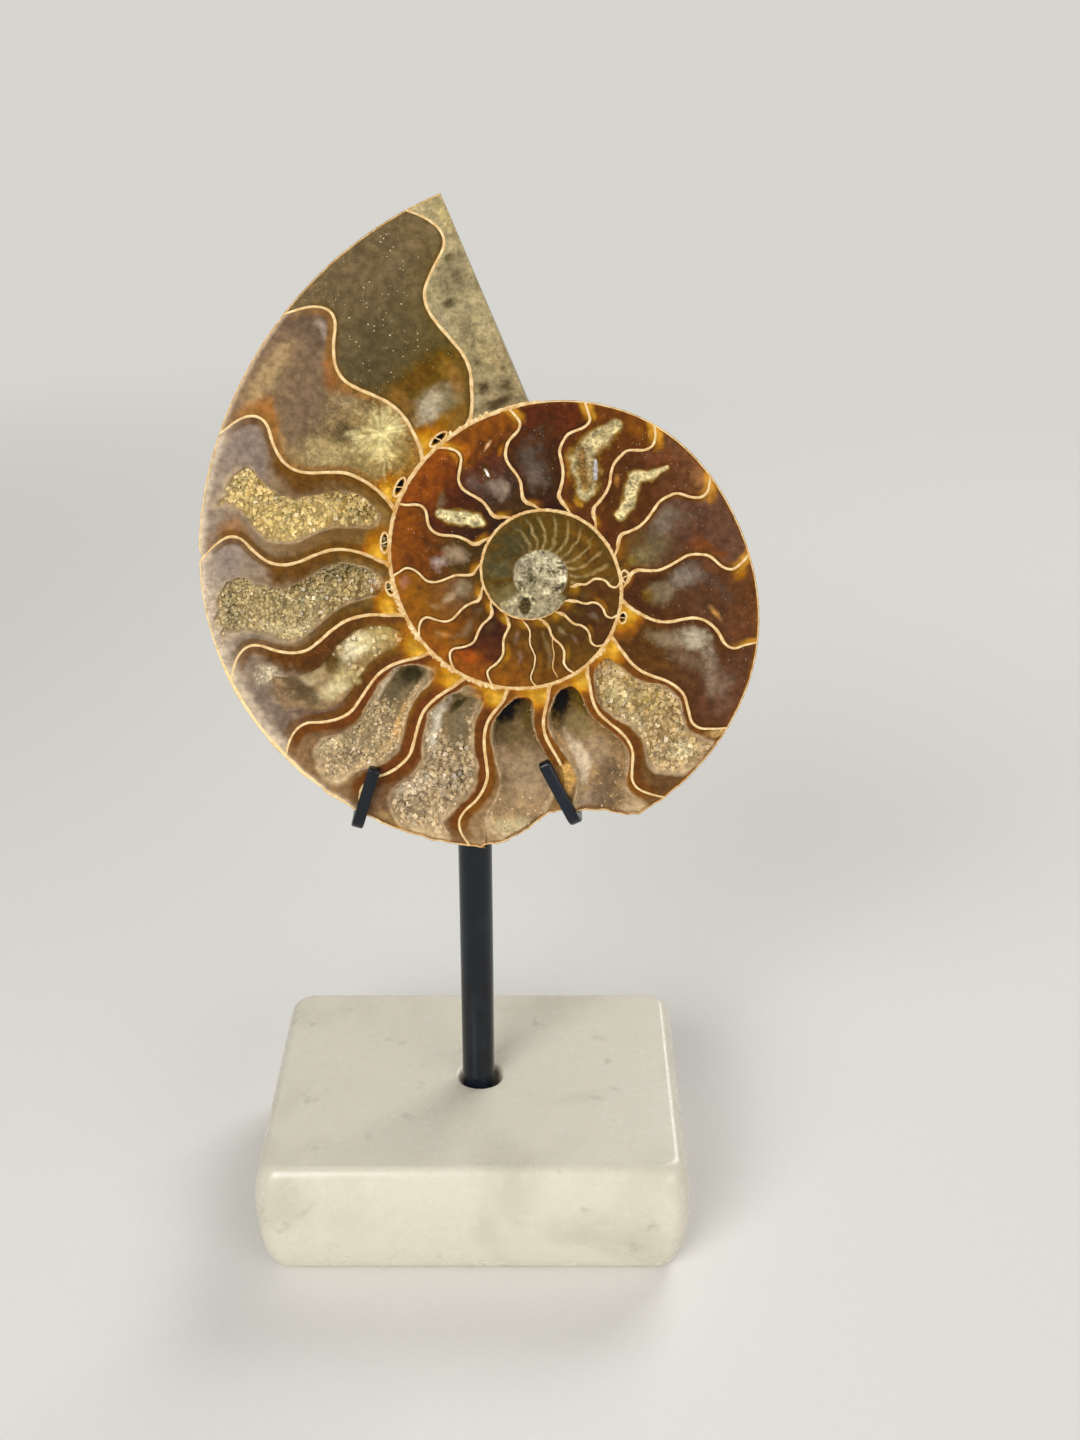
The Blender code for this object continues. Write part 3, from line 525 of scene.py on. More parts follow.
def new_tree(name, inputs, output):
    """A Geometry Nodes tree with named inputs of these kinds and one geometry output."""
    tree = bpy.data.node_groups.new(name, "GeometryNodeTree")
    for label, kind in inputs.items():
        tree.interface.new_socket(label, in_out="INPUT", socket_type="NodeSocket" + kind)
    tree.interface.new_socket(output, in_out="OUTPUT", socket_type="NodeSocketGeometry")
    add = functools.partial(add_node, tree)
    return tree, add, add("NodeGroupInput").outputs


def dress_tree(add, geometry, material, output):
    """Ends a tree: its geometry with the material on, under the output's name."""
    dressed = add("GeometryNodeSetMaterial", {"Geometry": geometry, "Material": material})
    add("NodeGroupOutput", {output: dressed})


def grown(name, tree, source, inputs):
    """Runs a Geometry Nodes tree on a source piece, and puts a plain mesh in its place."""
    modifier = source.modifiers.new(name, "NODES")
    modifier.node_group = tree
    for item in tree.interface.items_tree:
        if item.in_out == "INPUT" and item.name in inputs:
            modifier[item.identifier] = inputs[item.name]
    graph = bpy.context.evaluated_depsgraph_get()
    mesh = bpy.data.meshes.new_from_object(source.evaluated_get(graph), depsgraph=graph)
    mesh.name = name
    put_in_scene(name, mesh)
    bpy.data.objects.remove(source, do_unlink=True)


# --- the polished face ---


def face_points(x, z, depth=0.0):
    """Points on the plane of the polished face, or this far behind it."""
    return np.stack([x, np.full_like(x, FACE_Y) + depth, z], -1)


def chamber_turn(number, across, part):
    """Place round the spiral of a spot in a chamber; 0 is the mouth, 28 the innermost coil."""
    near = saw_turn(part) if number == 0 else septum_turn(number, part)
    far = COIL_END if number == LAST_SEPTUM else septum_turn(number + 1, part)
    return near * (1 - across) + far * across


def pocket_spread(number, across, part):
    """0 in the middle of a chamber's open pocket, 1 at its edge, and the place along it, -1 to 1."""
    _, _, near, far, inner, outer = POCKETS[number]
    along = (2 * part - inner - outer) / (outer - inner)
    beside = (2 * across - near - far - 2 * POCKET_LEAN * along) / (far - near)
    square = POCKET_SQUARENESS
    spread = (np.abs(along) ** square + np.abs(beside) ** square) ** (1 / square)
    return spread, np.clip(along, -1, 1)


def pocket_depth(number, across, part, spots):
    """How far the floor of a chamber lies below the face, and the spread with a ragged edge."""
    if number not in POCKETS:
        return np.zeros_like(part), np.full_like(part, 9.0)
    depth_out, depth_in = POCKETS[number][:2]
    spread, along = pocket_spread(number, across, part)
    smoother = 0.35 if number in DEEP_POCKETS else 1.0
    spread = spread + 0.055 * smoother * smooth_noise(spots, 0.0030, 11, 2)
    spread = spread + 0.030 * smoother * smooth_noise(spots, 0.0009, 12)
    deep = depth_in + (depth_out - depth_in) * (along + 1) / 2
    lumps = smooth_noise(spots, 0.0035, 21) * 0.7 + smooth_noise(spots, 0.0014, 22) * 0.5
    deep = deep + lumps * 0.0005 * LUMPY_FLOORS.get(number, smoother)
    depth = np.where(spread < 1, deep * np.clip(1 - spread**2, 0, 1) ** 0.3, 0.0)
    return np.maximum(depth, 0.0), spread


def tube_hole(turned, radius):
    """How far inside a gap of the feeding tube a spot lies: 1 in its middle, 0 at its edge."""
    inside = np.zeros_like(turned)
    clear = (radius - wall_radius(turned + 360.0) - TUBE_HOLE_CLEAR) / TUBE_HOLE_HALF_WIDTH
    for middle, half_length in TUBE_HOLES:
        spread = np.hypot((turned - middle) / half_length, clear)
        inside = np.maximum(inside, 1 - spread)
    return inside


def line_distance(x, z, line_x, line_z):
    """Distance of spots from a line of close points."""
    nearest = np.full(x.shape, 1.0)
    for ax, az, bx, bz in zip(line_x, line_z, line_x[1:], line_z[1:]):
        length = max((bx - ax) ** 2 + (bz - az) ** 2, 1e-14)
        f = np.clip(((x - ax) * (bx - ax) + (z - az) * (bz - az)) / length, 0, 1)
        gap = np.hypot(x - ax - f * (bx - ax), z - az - f * (bz - az))
        nearest = np.minimum(nearest, gap)
    return nearest


def blend(tint, tone, amount):
    return tint + (np.array(linear(tone)) - tint) * np.clip(amount, 0, 1)[:, None]


def deepened(tint):
    """Tones made deeper by the veil of light that a polished face throws back in any room."""
    return np.clip(FACE_DEPTH * tint - np.array(VEIL), 0.003, 1)


def tone_between(parts, tones, part):
    tones = np.array([linear(tone) for tone in tones])
    return np.stack([np.interp(part, parts, tones[:, k]) for k in range(3)], -1)


FACE_SPACING = 0.00036
FINE_SPACING = 0.00022
FINE_BAND = 0.0024
COIL_SPACING = 0.00024
# Glow in the corners: its middle and its edge. From this chamber inwards it is fainter.
GLOW = ("#f0b944", "#a8650c")
FAINT_GLOW_FROM = 23
# Chambers that are smooth towards the rim, how sugary some are, how strong the painted highlight on
# the pale lips of some hollows is, and how wide the painted reflection along the rim is, in mm.
SMOOTH_OUTSIDE = (2, 3, 4, 5)
SUGAR = {0: 0.4, 1: -0.3, 2: 0.5, 5: 0.3, 28: 0.25}
LIP_HIGHLIGHT_STRENGTHS = {3: 0.4, 4: 0.45, 5: 0.0}
PAINTED_RIM_REFLECTION_MM = {2: 0.6, 3: 1.5, 4: 2.0, 5: 2.6, 6: 0.9}
# Which chambers have fainter bands beside their septa (up to this one), wedges at the rim of the
# inner coil (before this one) and specks, and where the rim's amber edge runs, in degrees.
PALER_BANDS_TO = 5
WEDGES_BEFORE = 18
SPECKLED = range(11, 20)
AMBER_RIM = (130, 350)
VEIL = (0.010, 0.009, 0.012)
FACE_DEPTH = 0.86

# Tufts of crystal needles that grew out from one spot: chamber, place across, part, radius in mm,
# tone, strength, and how many needles round the spot.
TUFTS = (
    (2, 0.34, 0.34, 6.0, "#f6e4a4", 0.92, 44), (2, 0.54, 0.24, 4.2, "#e2cd8e", 0.9, 40),
    (2, 0.30, 0.18, 3.2, "#a08c5c", 0.6, 30), (5, 0.48, 0.34, 3.2, "#dccb94", 0.9, 22),
    (5, 0.62, 0.56, 3.2, "#c8b47c", 0.8, 22), (11, 0.70, 0.68, 3.0, "#c0b49c", 0.4, 22),
    (1, 0.62, 0.24, 3.4, "#b8ac90", 0.6, 18), (4, 0.18, 0.30, 2.2, "#8c7040", 0.5, 16),
)

# Crystal bars in closed chambers, and a painted highlight drawn as a bar: the chamber, points as place
# round the spiral and part with the half width in mm, the tone of the bar, and its strength.
BARS_AND_PAINTED_HIGHLIGHT = (
    (
        14, ((297.0, 0.845, 0.45), (298.6, 0.745, 0.9), (302.4, 0.667, 1.25),
             (300.0, 0.588, 1.3), (295.5, 0.454, 1.3), (293.6, 0.32, 1.0)), "#d2bf8c", 0.95,
    ),
    (
        15, ((318.7, 0.907, 1.1), (320.6, 0.849, 1.7), (323.9, 0.747, 2.1), (324.5, 0.608, 2.5),
             (320.7, 0.472, 2.5), (318.6, 0.387, 2.1), (316.1, 0.299, 1.3)), "#c6b484", 0.9,
    ),
    (
        15, ((326.5, 0.68, 0.5), (323.0, 0.523, 0.9), (318.3, 0.39, 0.7)), "#74502a", 0.7,
    ),
    (
        15, ((319.8, 0.634, 0.35), (316.0, 0.492, 0.45)), "#c6c8cc", 0.8,
    ),
    # A painted highlight: a small white glint in chamber 17, drawn as a bar.
    (
        17, ((369.2, 0.655, 0.20), (369.0, 0.59, 0.28)), "#fff6ec", 1.0,
    ),
    (
        18, ((399.5, 0.665, 1.0), (398.5, 0.60, 1.35), (395.2, 0.491, 1.35),
             (389.7, 0.324, 1.3), (388.4, 0.243, 0.8)), "#dccb98", 0.95,
    ),
)


def chamber_grid(number):
    """Spots over one chamber: across, part, place round the spiral, x and z, in rows."""
    spacing = FACE_SPACING if number < FIRST_INNER_CHAMBER else COIL_SPACING
    ends = np.array([0.0, 1.0])
    half = np.array([0.5, 0.5])
    wide_x, wide_z = whorl_spot(chamber_turn(number, ends, 0 * ends + 0.85), 0 * ends + 0.85)
    high_x, high_z = whorl_spot(chamber_turn(number, half, ends), ends)
    wide = math.hypot(wide_x[1] - wide_x[0], wide_z[1] - wide_z[0])
    high = math.hypot(high_x[1] - high_x[0], high_z[1] - high_z[0])
    if number == LAST_SEPTUM:
        wide, high = 0.105, 0.0095
    fine_rows = int(FINE_BAND / FINE_SPACING) if number < FIRST_INNER_SEPTUM else 0
    fine = np.arange(fine_rows) * FINE_SPACING / high
    start = fine_rows * FINE_SPACING / high
    rows = np.concatenate([fine, np.linspace(start, 1, int(high * (1 - start) / spacing) + 2)])
    columns = np.linspace(0, 1, int(wide / spacing) + 2)
    share, across = np.meshgrid(rows, columns, indexing="ij")
    part = share.copy()
    for _ in range(4):
        turned = chamber_turn(number, across, part)
        part = share * part_limit(turned)
    turned = chamber_turn(number, across, part)
    x, z = whorl_spot(turned, part)
    return across, part, turned, x, z


def septum_distance(number, x, z, part):
    """How far a spot lies from the nearer septum, not counting the one that parts the deep hollows
    where it comes near the rim."""
    steps = np.linspace(0, 1, 60)
    away = {}
    for side, place in (("near", 0.0), ("far", 1.0)):
        line = whorl_spot(chamber_turn(number, 0 * steps + place, steps), steps)
        away[side] = line_distance(x, z, *line)
    if number in DEEP_POCKETS:
        away[{8: "far", 9: "near"}[number]] += 0.01 * smoothstep(0.60, 0.68, part)
    return np.minimum(away["near"], away["far"])


def paint_filling(number, part, wander, fine):
    """The filling's own tones across the whorl, and how sugary it is."""
    inner_coil = number > LAST_OPEN_CHAMBER
    drift = (0.07 if inner_coil else 0.03) * wander
    tint = tone_between(GROUND_PARTS, FILLING[number][:4], part + drift)
    smooth = smoothstep(0.62, 0.82, part) if number in SMOOTH_OUTSIDE else 0.0 * part
    mottle = 0.08 if number in DEEP_POCKETS else 0.18
    tint = tint * (1 + mottle * (1 - 0.8 * smooth) * (wander + 0.4 * fine))[:, None]
    sugar = SUGAR.get(number, -0.3 if inner_coil else 0.15)
    return tint, sugar - (0.9 + sugar) * smooth


def patches_in(patches, number, across, part):
    """Each patch in a chamber: how far spots lie from its middle, its tone and strength."""
    for place, across_0, part_0, half_across, half_part, tone, strength in patches:
        if place == number:
            reach = np.hypot((across - across_0) / half_across, (part - part_0) / half_part)
            yield reach, tone, strength


def paint_patches(tint, sugar, number, across, part, wander, fine):
    """The clouds and patches inside the filling; pale ones are sugary."""
    soft = 0.15 if number > LAST_OPEN_CHAMBER else 0.40
    for reach, tone, strength in patches_in(PATCHES, number, across, part):
        reach = reach + 0.34 * wander + 0.20 * fine
        covered = strength * smoothstep(1.30, soft, reach)
        tint = blend(tint, tone, covered)
        frosty = smoothstep(0.20, 0.50, sum(linear(tone)) / 3)
        sugar = np.maximum(sugar, covered * frosty)
    return tint, sugar


def paint_band(tint, number, part, beside, wander):
    """The brown calcite beside the septa."""
    band_tone, band_width = FILLING[number][4], FILLING[number][5] * MM
    band = smoothstep(band_width * 1.25, band_width * 0.75, beside + 0.00025 * wander)
    band_strength = 0.9 if number > PALER_BANDS_TO else 0.75
    return blend(tint, band_tone, band * band_strength * smoothstep(1.0, 0.90, part))


def paint_floor(tint, number, across, part, spread, wander, fine):
    """The floor of an open chamber, with painted shade in the deep hollows, its patches, and the pale
    lip round the hollow with a painted highlight on it.
    """
    outer_tone, inner_floor_and_shade, *_ = FLOORS[number]
    floor = tone_between((0.15, 0.85), (inner_floor_and_shade, outer_tone), part)
    floor = floor * (1 + 0.20 * wander + 0.22 * fine)[:, None]
    open_floor = smoothstep(1.03, 0.97, spread)
    tint = tint + (floor - tint) * open_floor[:, None]
    for reach, tone, strength in patches_in(FLOOR_PATCHES, number, across, part):
        reach = reach + 0.25 * wander + 0.2 * fine
        tint = blend(tint, tone, strength * open_floor * smoothstep(1.25, 0.45, reach))
    # The lip's pale tone is a painted highlight along the hollow's edge, laid over its cream calcite.
    lip_highlight_start = 0.74 if number in RUBBLE_POCKETS else 0.90
    lip_highlight = smoothstep(lip_highlight_start, 0.97, spread) * smoothstep(1.12, 1.02, spread)
    lip_highlight_strength = LIP_HIGHLIGHT_STRENGTHS.get(number, 0.8)
    tint = blend(tint, "#dcc096", lip_highlight * lip_highlight_strength * (0.75 + 0.5 * wander))
    return tint


def paint_glow(tint, number, across, x, z, radius, inner, wander):
    """The glow in a chamber's corner, and the amber along the inner wall of the outer whorl."""
    size, strong = 0.0026, 0.35 if number < FAINT_GLOW_FROM else 0.2
    if number < FIRST_INNER_CHAMBER:
        size, strong = 0.0070, 1.0
    corner_x, corner_z = whorl_spot(*(np.array([value]) for value in corner_place(number)))
    reach = np.hypot(x - corner_x, z - corner_z) / size
    reach = reach + 0.9 * smoothstep(0.5 * size, 1.3 * size, radius - inner)
    reach = reach + 0.15 * wander
    tint = blend(tint, GLOW[1], 0.95 * strong * smoothstep(1.5, 0.75, reach))
    tint = blend(tint, GLOW[0], strong * smoothstep(1.0, 0.2, reach))
    if number < FIRST_INNER_CHAMBER:
        low = smoothstep(0.0026, 0.0010, radius - inner + 0.0003 * wander)
        tint = blend(tint, "#9c6016", 0.7 * low * smoothstep(0.40, 0.80, across))
    return tint


def paint_tufts(tint, sugar, number, x, z, wander, fine):
    """The tufts of crystal needles."""
    for place, across_0, part_0, radius_mm, tone, strength, needles in TUFTS:
        if place == number:
            turned_0 = chamber_turn(number, np.array([across_0]), np.array([part_0]))
            tuft_x, tuft_z = whorl_spot(turned_0, np.array([part_0]))
            away, angle = np.hypot(x - tuft_x, z - tuft_z), np.arctan2(z - tuft_z, x - tuft_x)
            ring = needles / 6.3
            round_it = np.stack([ring * np.cos(angle), ring * np.sin(angle), away / 0.004], -1)
            needle = smooth_noise(round_it, 1.0, 45 + number, 2)
            reach = away / (radius_mm * MM) * (1 - 0.35 * needle) + 0.15 * fine + 0.35 * wander
            covered = strength * smoothstep(1.1, 0.1, reach) * smoothstep(-0.5, 0.5, needle + 0.2)
            tint = blend(tint, tone, covered)
            sugar = np.minimum(sugar, 1 - 0.8 * smoothstep(1.0, 0.5, reach))
    return tint, sugar


def paint_bars_and_highlight(tint, sugar, number, x, z, part, wander, fine):
    """The crystal bars of the closed chambers and a painted highlight drawn as one, each with a dark
    and an ochre edge.
    """
    for place, line, tone, strength in BARS_AND_PAINTED_HIGHLIGHT:
        if place == number:
            turned_by, across_part, half_width = np.array(line).T
            gap = line_distance(x, z, *whorl_spot(turned_by, across_part))
            width = np.interp(part, across_part[::-1], half_width[::-1]) * MM
            edge = gap / width + 0.38 * wander + 0.10 * fine
            covered = (strength * smoothstep(1.22, 0.72, edge))[:, None]
            tint = blend(tint, "#5c3a18", 0.5 * smoothstep(1.2 * MM, 0.2 * MM, gap - width))
            tint = blend(tint, "#a07c40", 0.6 * smoothstep(1.55, 1.15, edge))
            varied = np.array(linear(tone)) * (1 + 0.25 * fine + 0.25 * wander)[:, None]
            tint = tint * (1 - covered) + varied * covered
            sugar = np.maximum(sugar, covered[:, 0])
    return tint, sugar


def paint_rim(tint, number, part, turned, radius, outer, beside, wander):
    """What lies along the rim: a pale band that is a painted reflection of light, an amber edge, and
    wedges in the corners outside.
    """
    rim = (np.minimum(outer, rim_limit(turned)) - radius) / MM
    # The pale grey-pink band along the rim is a painted reflection of light on the polished face.
    if number in PAINTED_RIM_REFLECTION_MM:
        wide = PAINTED_RIM_REFLECTION_MM[number]
        tint = blend(tint, "#d8c2a8", 0.9 * smoothstep(1.5 * wide, 0.3 * wide, rim))
    shown = (turned > AMBER_RIM[0]) * (turned < AMBER_RIM[1])
    tint = blend(tint, "#7b4a20", 0.7 * smoothstep(1.0, 0.4, rim) * shown)
    if FIRST_INNER_CHAMBER <= number < WEDGES_BEFORE:
        wedge = smoothstep(0.0019, 0.0005, beside + 0.0004 * wander) * smoothstep(0.86, 0.97, part)
        tint = blend(tint, "#d99a3a", 0.8 * wedge)
    return tint


def paint_chamber(number, across, part, turned, x, z, spots, depth, spread):
    """Tint and the other looks of a chamber's spots, all as flat rows."""
    inner, outer = wall_radius(turned + 360.0), wall_radius(turned)
    radius = np.hypot(x - CENTRE_X, z - CENTRE_Z)
    beside = septum_distance(number, x, z, part)
    small = 1.0 if number < FIRST_INNER_SEPTUM else 0.5
    wander = smooth_noise(spots, 0.0030 * small, 31, 3)
    fine = smooth_noise(spots, 0.0008, 32, 2)

    tint, sugar = paint_filling(number, part, wander, fine)
    tint, sugar = paint_patches(tint, sugar, number, across, part, wander, fine)
    if number != 0:
        tint = paint_band(tint, number, part, beside, wander)
    if number in POCKETS:
        tint = paint_floor(tint, number, across, part, spread, wander, fine)
    if 1 <= number < LAST_SEPTUM:
        tint = paint_glow(tint, number, across, x, z, radius, inner, wander)
    tint, sugar = paint_tufts(tint, sugar, number, x, z, wander, fine)
    tint, sugar = paint_bars_and_highlight(tint, sugar, number, x, z, part, wander, fine)
    if number == LAST_SEPTUM:
        tint = paint_coil(tint, turned, part, x, z, wander, fine)
    tint = paint_rim(tint, number, part, turned, radius, outer, beside, wander)

    hole = tube_hole(turned, radius) if number < FIRST_INNER_SEPTUM else np.zeros_like(turned)
    # The gaps of the feeding tube are painted near-black: painted shade in the hollow.
    tint = blend(tint, "#140d08", smoothstep(0.0, 0.18, hole))
    depth = depth + TUBE_HOLE_DEPTH * np.sqrt(np.clip(hole * (2 - hole), 0, 1))

    if number == LAST_SEPTUM:
        sugar = np.maximum(sugar, core_cover(turned, x, z, wander))
    speck = np.full_like(part, 0.3 if number in SPECKLED else 0.0)
    if number == 1:
        speck = 1.0 * smoothstep(0.34, 0.55, part) * smoothstep(0.0006, 0.0020, beside)
    dull = smoothstep(0.00005, 0.0004, depth)
    return {"tint": deepened(tint), "sugar": sugar, "speck": speck, "dull": dull}, depth


def corner_place(number):
    """Where a chamber's glowing corner lies: at its inner wall, against the further septum."""
    if number < FIRST_INNER_CHAMBER:
        return septum_turn(number + 1, 0.0) - 0.5, 0.03
    return float(septum_turn(number + 1, 0.13)) - 0.6, 0.13


def core_disc(x, z, wander):
    """How far a spot lies in the round pale core."""
    away = np.hypot(x - CORE_MIDDLE[0], z - CORE_MIDDLE[1])
    return smoothstep(1.05, 0.95, away / CORE_RADIUS + 0.03 * wander)


def core_cover(turned, x, z, wander):
    """How far a spot lies in the pale speckled core and its tail along the bottom."""
    tail = smoothstep(828, 842, turned + 8 * wander) * smoothstep(945, 930, turned + 3 * wander)
    return np.maximum(core_disc(x, z, wander), 0.9 * tail)


def paint_coil(tint, turned, part, x, z, wander, fine):
    """The innermost coil: faint septa like spokes, olive calcite, and the pale speckled core."""
    lean = 7.0 * np.sin(3.6 * part + 0.4) + 2.5 * wander
    spoke = np.abs(((turned + lean) / 12.6) % 1 - 0.5) * 12.6
    width = np.radians(spoke) * wall_radius(turned) * np.interp(part, (0, 1), (0.35, 0.9))
    shown = smoothstep(740, 705, turned) * smoothstep(0.95, 0.80, part)
    lit = smoothstep(0.00050, 0.00008, width + 0.00012 * fine)
    tint = blend(tint, "#b39a66", 0.8 * lit * shown * (0.75 + 0.5 * fine))
    disc = core_disc(x, z, wander)
    cover = core_cover(turned, x, z, wander)
    tint = blend(tint, "#a09374", cover)
    tint = blend(tint, "#bdb190", disc * smoothstep(-0.2, 0.5, wander + (z - 0.1697) / 0.006))
    spots = np.stack([x, z, 0 * x], -1)
    dark_spots = smoothstep(0.30, 0.60, smooth_noise(spots, 0.0010, 41, 2))
    tint = blend(tint, "#4c4130", 0.85 * disc * dark_spots)
    light_spots = smoothstep(0.35, 0.60, smooth_noise(spots, 0.0008, 42, 2))
    tint = blend(tint, "#d6cba6", 0.7 * cover * light_spots)
    for spot_x, spot_z, half_x, half_z, tone, strength in CORE_SPOTS:
        away = np.hypot((x - spot_x) / half_x, (z - spot_z) / half_z) + 0.25 * wander
        tint = blend(tint, tone, strength * smoothstep(1.15, 0.75, away))
    return tint


# Single dark and light spots of the core: place, half sizes, tone and strength.
CORE_SPOTS = (
    (0.0128, 0.1629, 0.0013, 0.0022, "#4a3c26", 0.95),
    (0.0162, 0.1710, 0.0008, 0.0007, "#2f2a20", 0.9), (0.0143, 0.1693, 0.0005, 0.0008, "#282018", 0.9),
    (0.0208, 0.1690, 0.0009, 0.0009, "#efe4c2", 0.9), (0.0118, 0.1721, 0.0011, 0.0009, "#8a7a6c", 0.7),
    (0.0204, 0.1716, 0.0011, 0.0004, "#3c3226", 0.8), (0.0172, 0.1664, 0.0006, 0.0008, "#d8cda8", 0.8),
    (0.0130, 0.1655, 0.0007, 0.0006, "#cfc298", 0.7), (0.0163, 0.1628, 0.0018, 0.0012, "#a2967a", 0.6),
    (0.0086, 0.1633, 0.0012, 0.0008, "#bcae7e", 0.6),
)


def make_core_middle(calcite):
    """The small disc inside the innermost coil, just behind the rest of the face."""
    rings, columns = 14, 72
    reach = np.linspace(0, float(wall_radius(COIL_END - 360.0)) + 0.0001, rings)[:, None]
    around = np.linspace(0, 2 * math.pi, columns, endpoint=False)[None, :]
    x = (CENTRE_X + reach * np.cos(around)).ravel()
    z = (CENTRE_Z + reach * np.sin(around)).ravel()
    spots = np.stack([x, z, 0 * x], -1)
    wander = smooth_noise(spots, 0.0015, 31, 3)
    fine = smooth_noise(spots, 0.0008, 32, 2)
    middle = np.full_like(x, 700.0)
    tint = paint_coil(np.tile(linear("#a09374"), (len(x), 1)), middle, middle * 0, x, z, wander, fine)
    looks = {"tint": deepened(tint), "sugar": np.full_like(x, 0.9), "speck": 0 * x, "dull": 0 * x}
    faces = grid_faces(rings, columns, closed=True)
    points = face_points(x, z, JUST_BEHIND)
    make_piece("face_middle", points, faces, calcite, attributes=looks)


def make_face(calcite):
    """The polished face, as one plane cut by the open chambers, and their floors for the druse."""
    pieces = {"face_outer": [], "face_lower": [], "face_inner": []}
    floors = []
    for number in range(LAST_SEPTUM + 1):
        across, part, turned, x, z = chamber_grid(number)
        rows, columns = x.shape
        across, part, turned, x, z = (grid.ravel() for grid in (across, part, turned, x, z))
        spots = np.stack([x, z, 0 * x], -1)
        depth, spread = pocket_depth(number, across, part, spots)
        looks, depth = paint_chamber(number, across, part, turned, x, z, spots, depth, spread)
        points = face_points(x, z, depth)
        lower = "face_lower" if number < FIRST_INNER_CHAMBER else "face_inner"
        key = "face_outer" if number < 6 else lower
        pieces[key].append((points, rows, columns, looks))
        if number in POCKETS:
            floors.append((number, points, rows, columns, looks, part, spread, depth))
    for name, patches in pieces.items():
        points, faces, looks = [], [], {}
        for patch_points, rows, columns, patch_looks in patches:
            start = sum(len(block) for block in points)
            faces += grid_faces(rows, columns, start)
            points.append(patch_points)
            for label, values in patch_looks.items():
                looks.setdefault(label, []).append(values)
        points = np.concatenate(points)
        looks = {label: np.concatenate(values) for label, values in looks.items()}
        make_piece(name, points, faces, calcite, attributes=looks)
    make_core_middle(calcite)
    return floors


# --- septa and walls ---


def line_tree():
    """Geometry Nodes: a low band along each line, as wide as the line's half_width says."""
    inputs = {"Lines": "Geometry", "Flatness": "Float", "Facing": "Vector", "Material": "Material"}
    tree, add, given = new_tree("nacre_lines", inputs, "Bands")
    curve = add("GeometryNodeMeshToCurve", {"Mesh": given["Lines"]})
    turned = add(
        "GeometryNodeSetCurveNormal",
        {"Curve": curve, "Normal": given["Facing"]},
        mode="FREE",
    )
    circle = add("GeometryNodeCurvePrimitiveCircle", {"Resolution": 8})
    scale = add("ShaderNodeCombineXYZ", {"X": given["Flatness"], "Y": 1.0, "Z": 1.0})
    profile = add("GeometryNodeTransform", {"Geometry": circle, "Scale": scale})
    width = add("GeometryNodeInputNamedAttribute", {"Name": "half_width"}, data_type="FLOAT")
    band = add(
        "GeometryNodeCurveToMesh",
        {
            "Curve": turned,
            "Profile Curve": profile,
            "Scale": width,
            "Fill Caps": True,
        },
    )
    smooth = add("GeometryNodeSetShadeSmooth", {"Geometry": band})
    real = add("GeometryNodeRealizeInstances", {"Geometry": smooth})
    dress_tree(add, real, given["Material"], "Bands")
    return tree


class Lines:
    """Collects lines of points, each point with its half width and its warmth, 0 pale to 1 amber."""

    def __init__(self):
        self.points, self.edges, self.half_width, self.warmth = [], [], [], []

    def add(self, points, half_width, warmth, closed=False):
        start, count = len(self.points), len(points)
        self.points += [tuple(point) for point in points]
        self.edges += [(start + k, start + k + 1) for k in range(count - 1)]
        if closed:
            self.edges.append((start + count - 1, start))
        self.half_width += list(np.broadcast_to(half_width, count))
        self.warmth += list(np.broadcast_to(warmth, count))

    def grow(self, name, tree, flatness, facing, material):
        looks = {"half_width": self.half_width, "warmth": self.warmth}
        source = make_piece(name + "_lines", self.points, [], None, self.edges, attributes=looks)
        inputs = {"Flatness": flatness, "Facing": facing, "Material": material}
        grown(name, tree, source, inputs)


def flat_line(turned, part):
    return face_points(*whorl_spot(turned, part))


def uneven(turned, seed, size=1.3):
    """Slight unevenness along a line, about -1 to 1."""
    spots = np.stack([turned / size, turned * 0, turned * 0], -1)
    return smooth_noise(spots, 1.0, seed, 2)


# Half width in mm and warmth along the shell's lines: where each value holds, and the value.
OUTER_SEPTUM_WIDTH = ((0, 0.04, 0.15, 0.8, 1.0), (0.62, 0.48, 0.38, 0.34, 0.22))
INNER_SEPTUM_WIDTH = (
    (0, 0.07, 0.13, 0.19, 0.30, 0.9, 1), (0.22, 0.30, 0.46, 0.46, 0.33, 0.30, 0.25),
)
SEPTUM_WARMTH = ((0, 0.12, 0.5, 1.0), (0.75, 0.45, 0.35, 0.30))
RIM_WIDTH = ((0, 84, 96, 118, 134, 200, 347), (0.12, 0.15, 0.45, 0.50, 0.20, 0.15, 0.15))
RIM_WARMTH = (
    (0, 40, 60, 95, 120, 135, 240, 347), (0.7, 0.6, 0.3, 0.0, 0.1, 0.5, 0.5, 0.3),
)
WALL_WIDTH = ((344, 352, 520, 640, 760, 860, 920), (0.25, 0.44, 0.42, 0.38, 0.32, 0.2, 0.04))
WALL_WARMTH = ((344, 380, 500, 620, 900), (0.4, 0.55, 0.5, 0.45, 0.6))
WALL_LINE_START = 344.0
RIM_LINE_END = 347.0
# A septum that stops short of the rim, and one that is thinner.
SHORT_SEPTA = {9: 0.62}
THIN_SEPTA = {24: 0.6}
# A second line that merges into a septum of the inner coil: parts, and places round the spiral.
MERGING_LINE = ((0.42, 0.55, 0.70, 0.84, 0.96), (539.8, 537.6, 537.0, 534.6, 536.2))


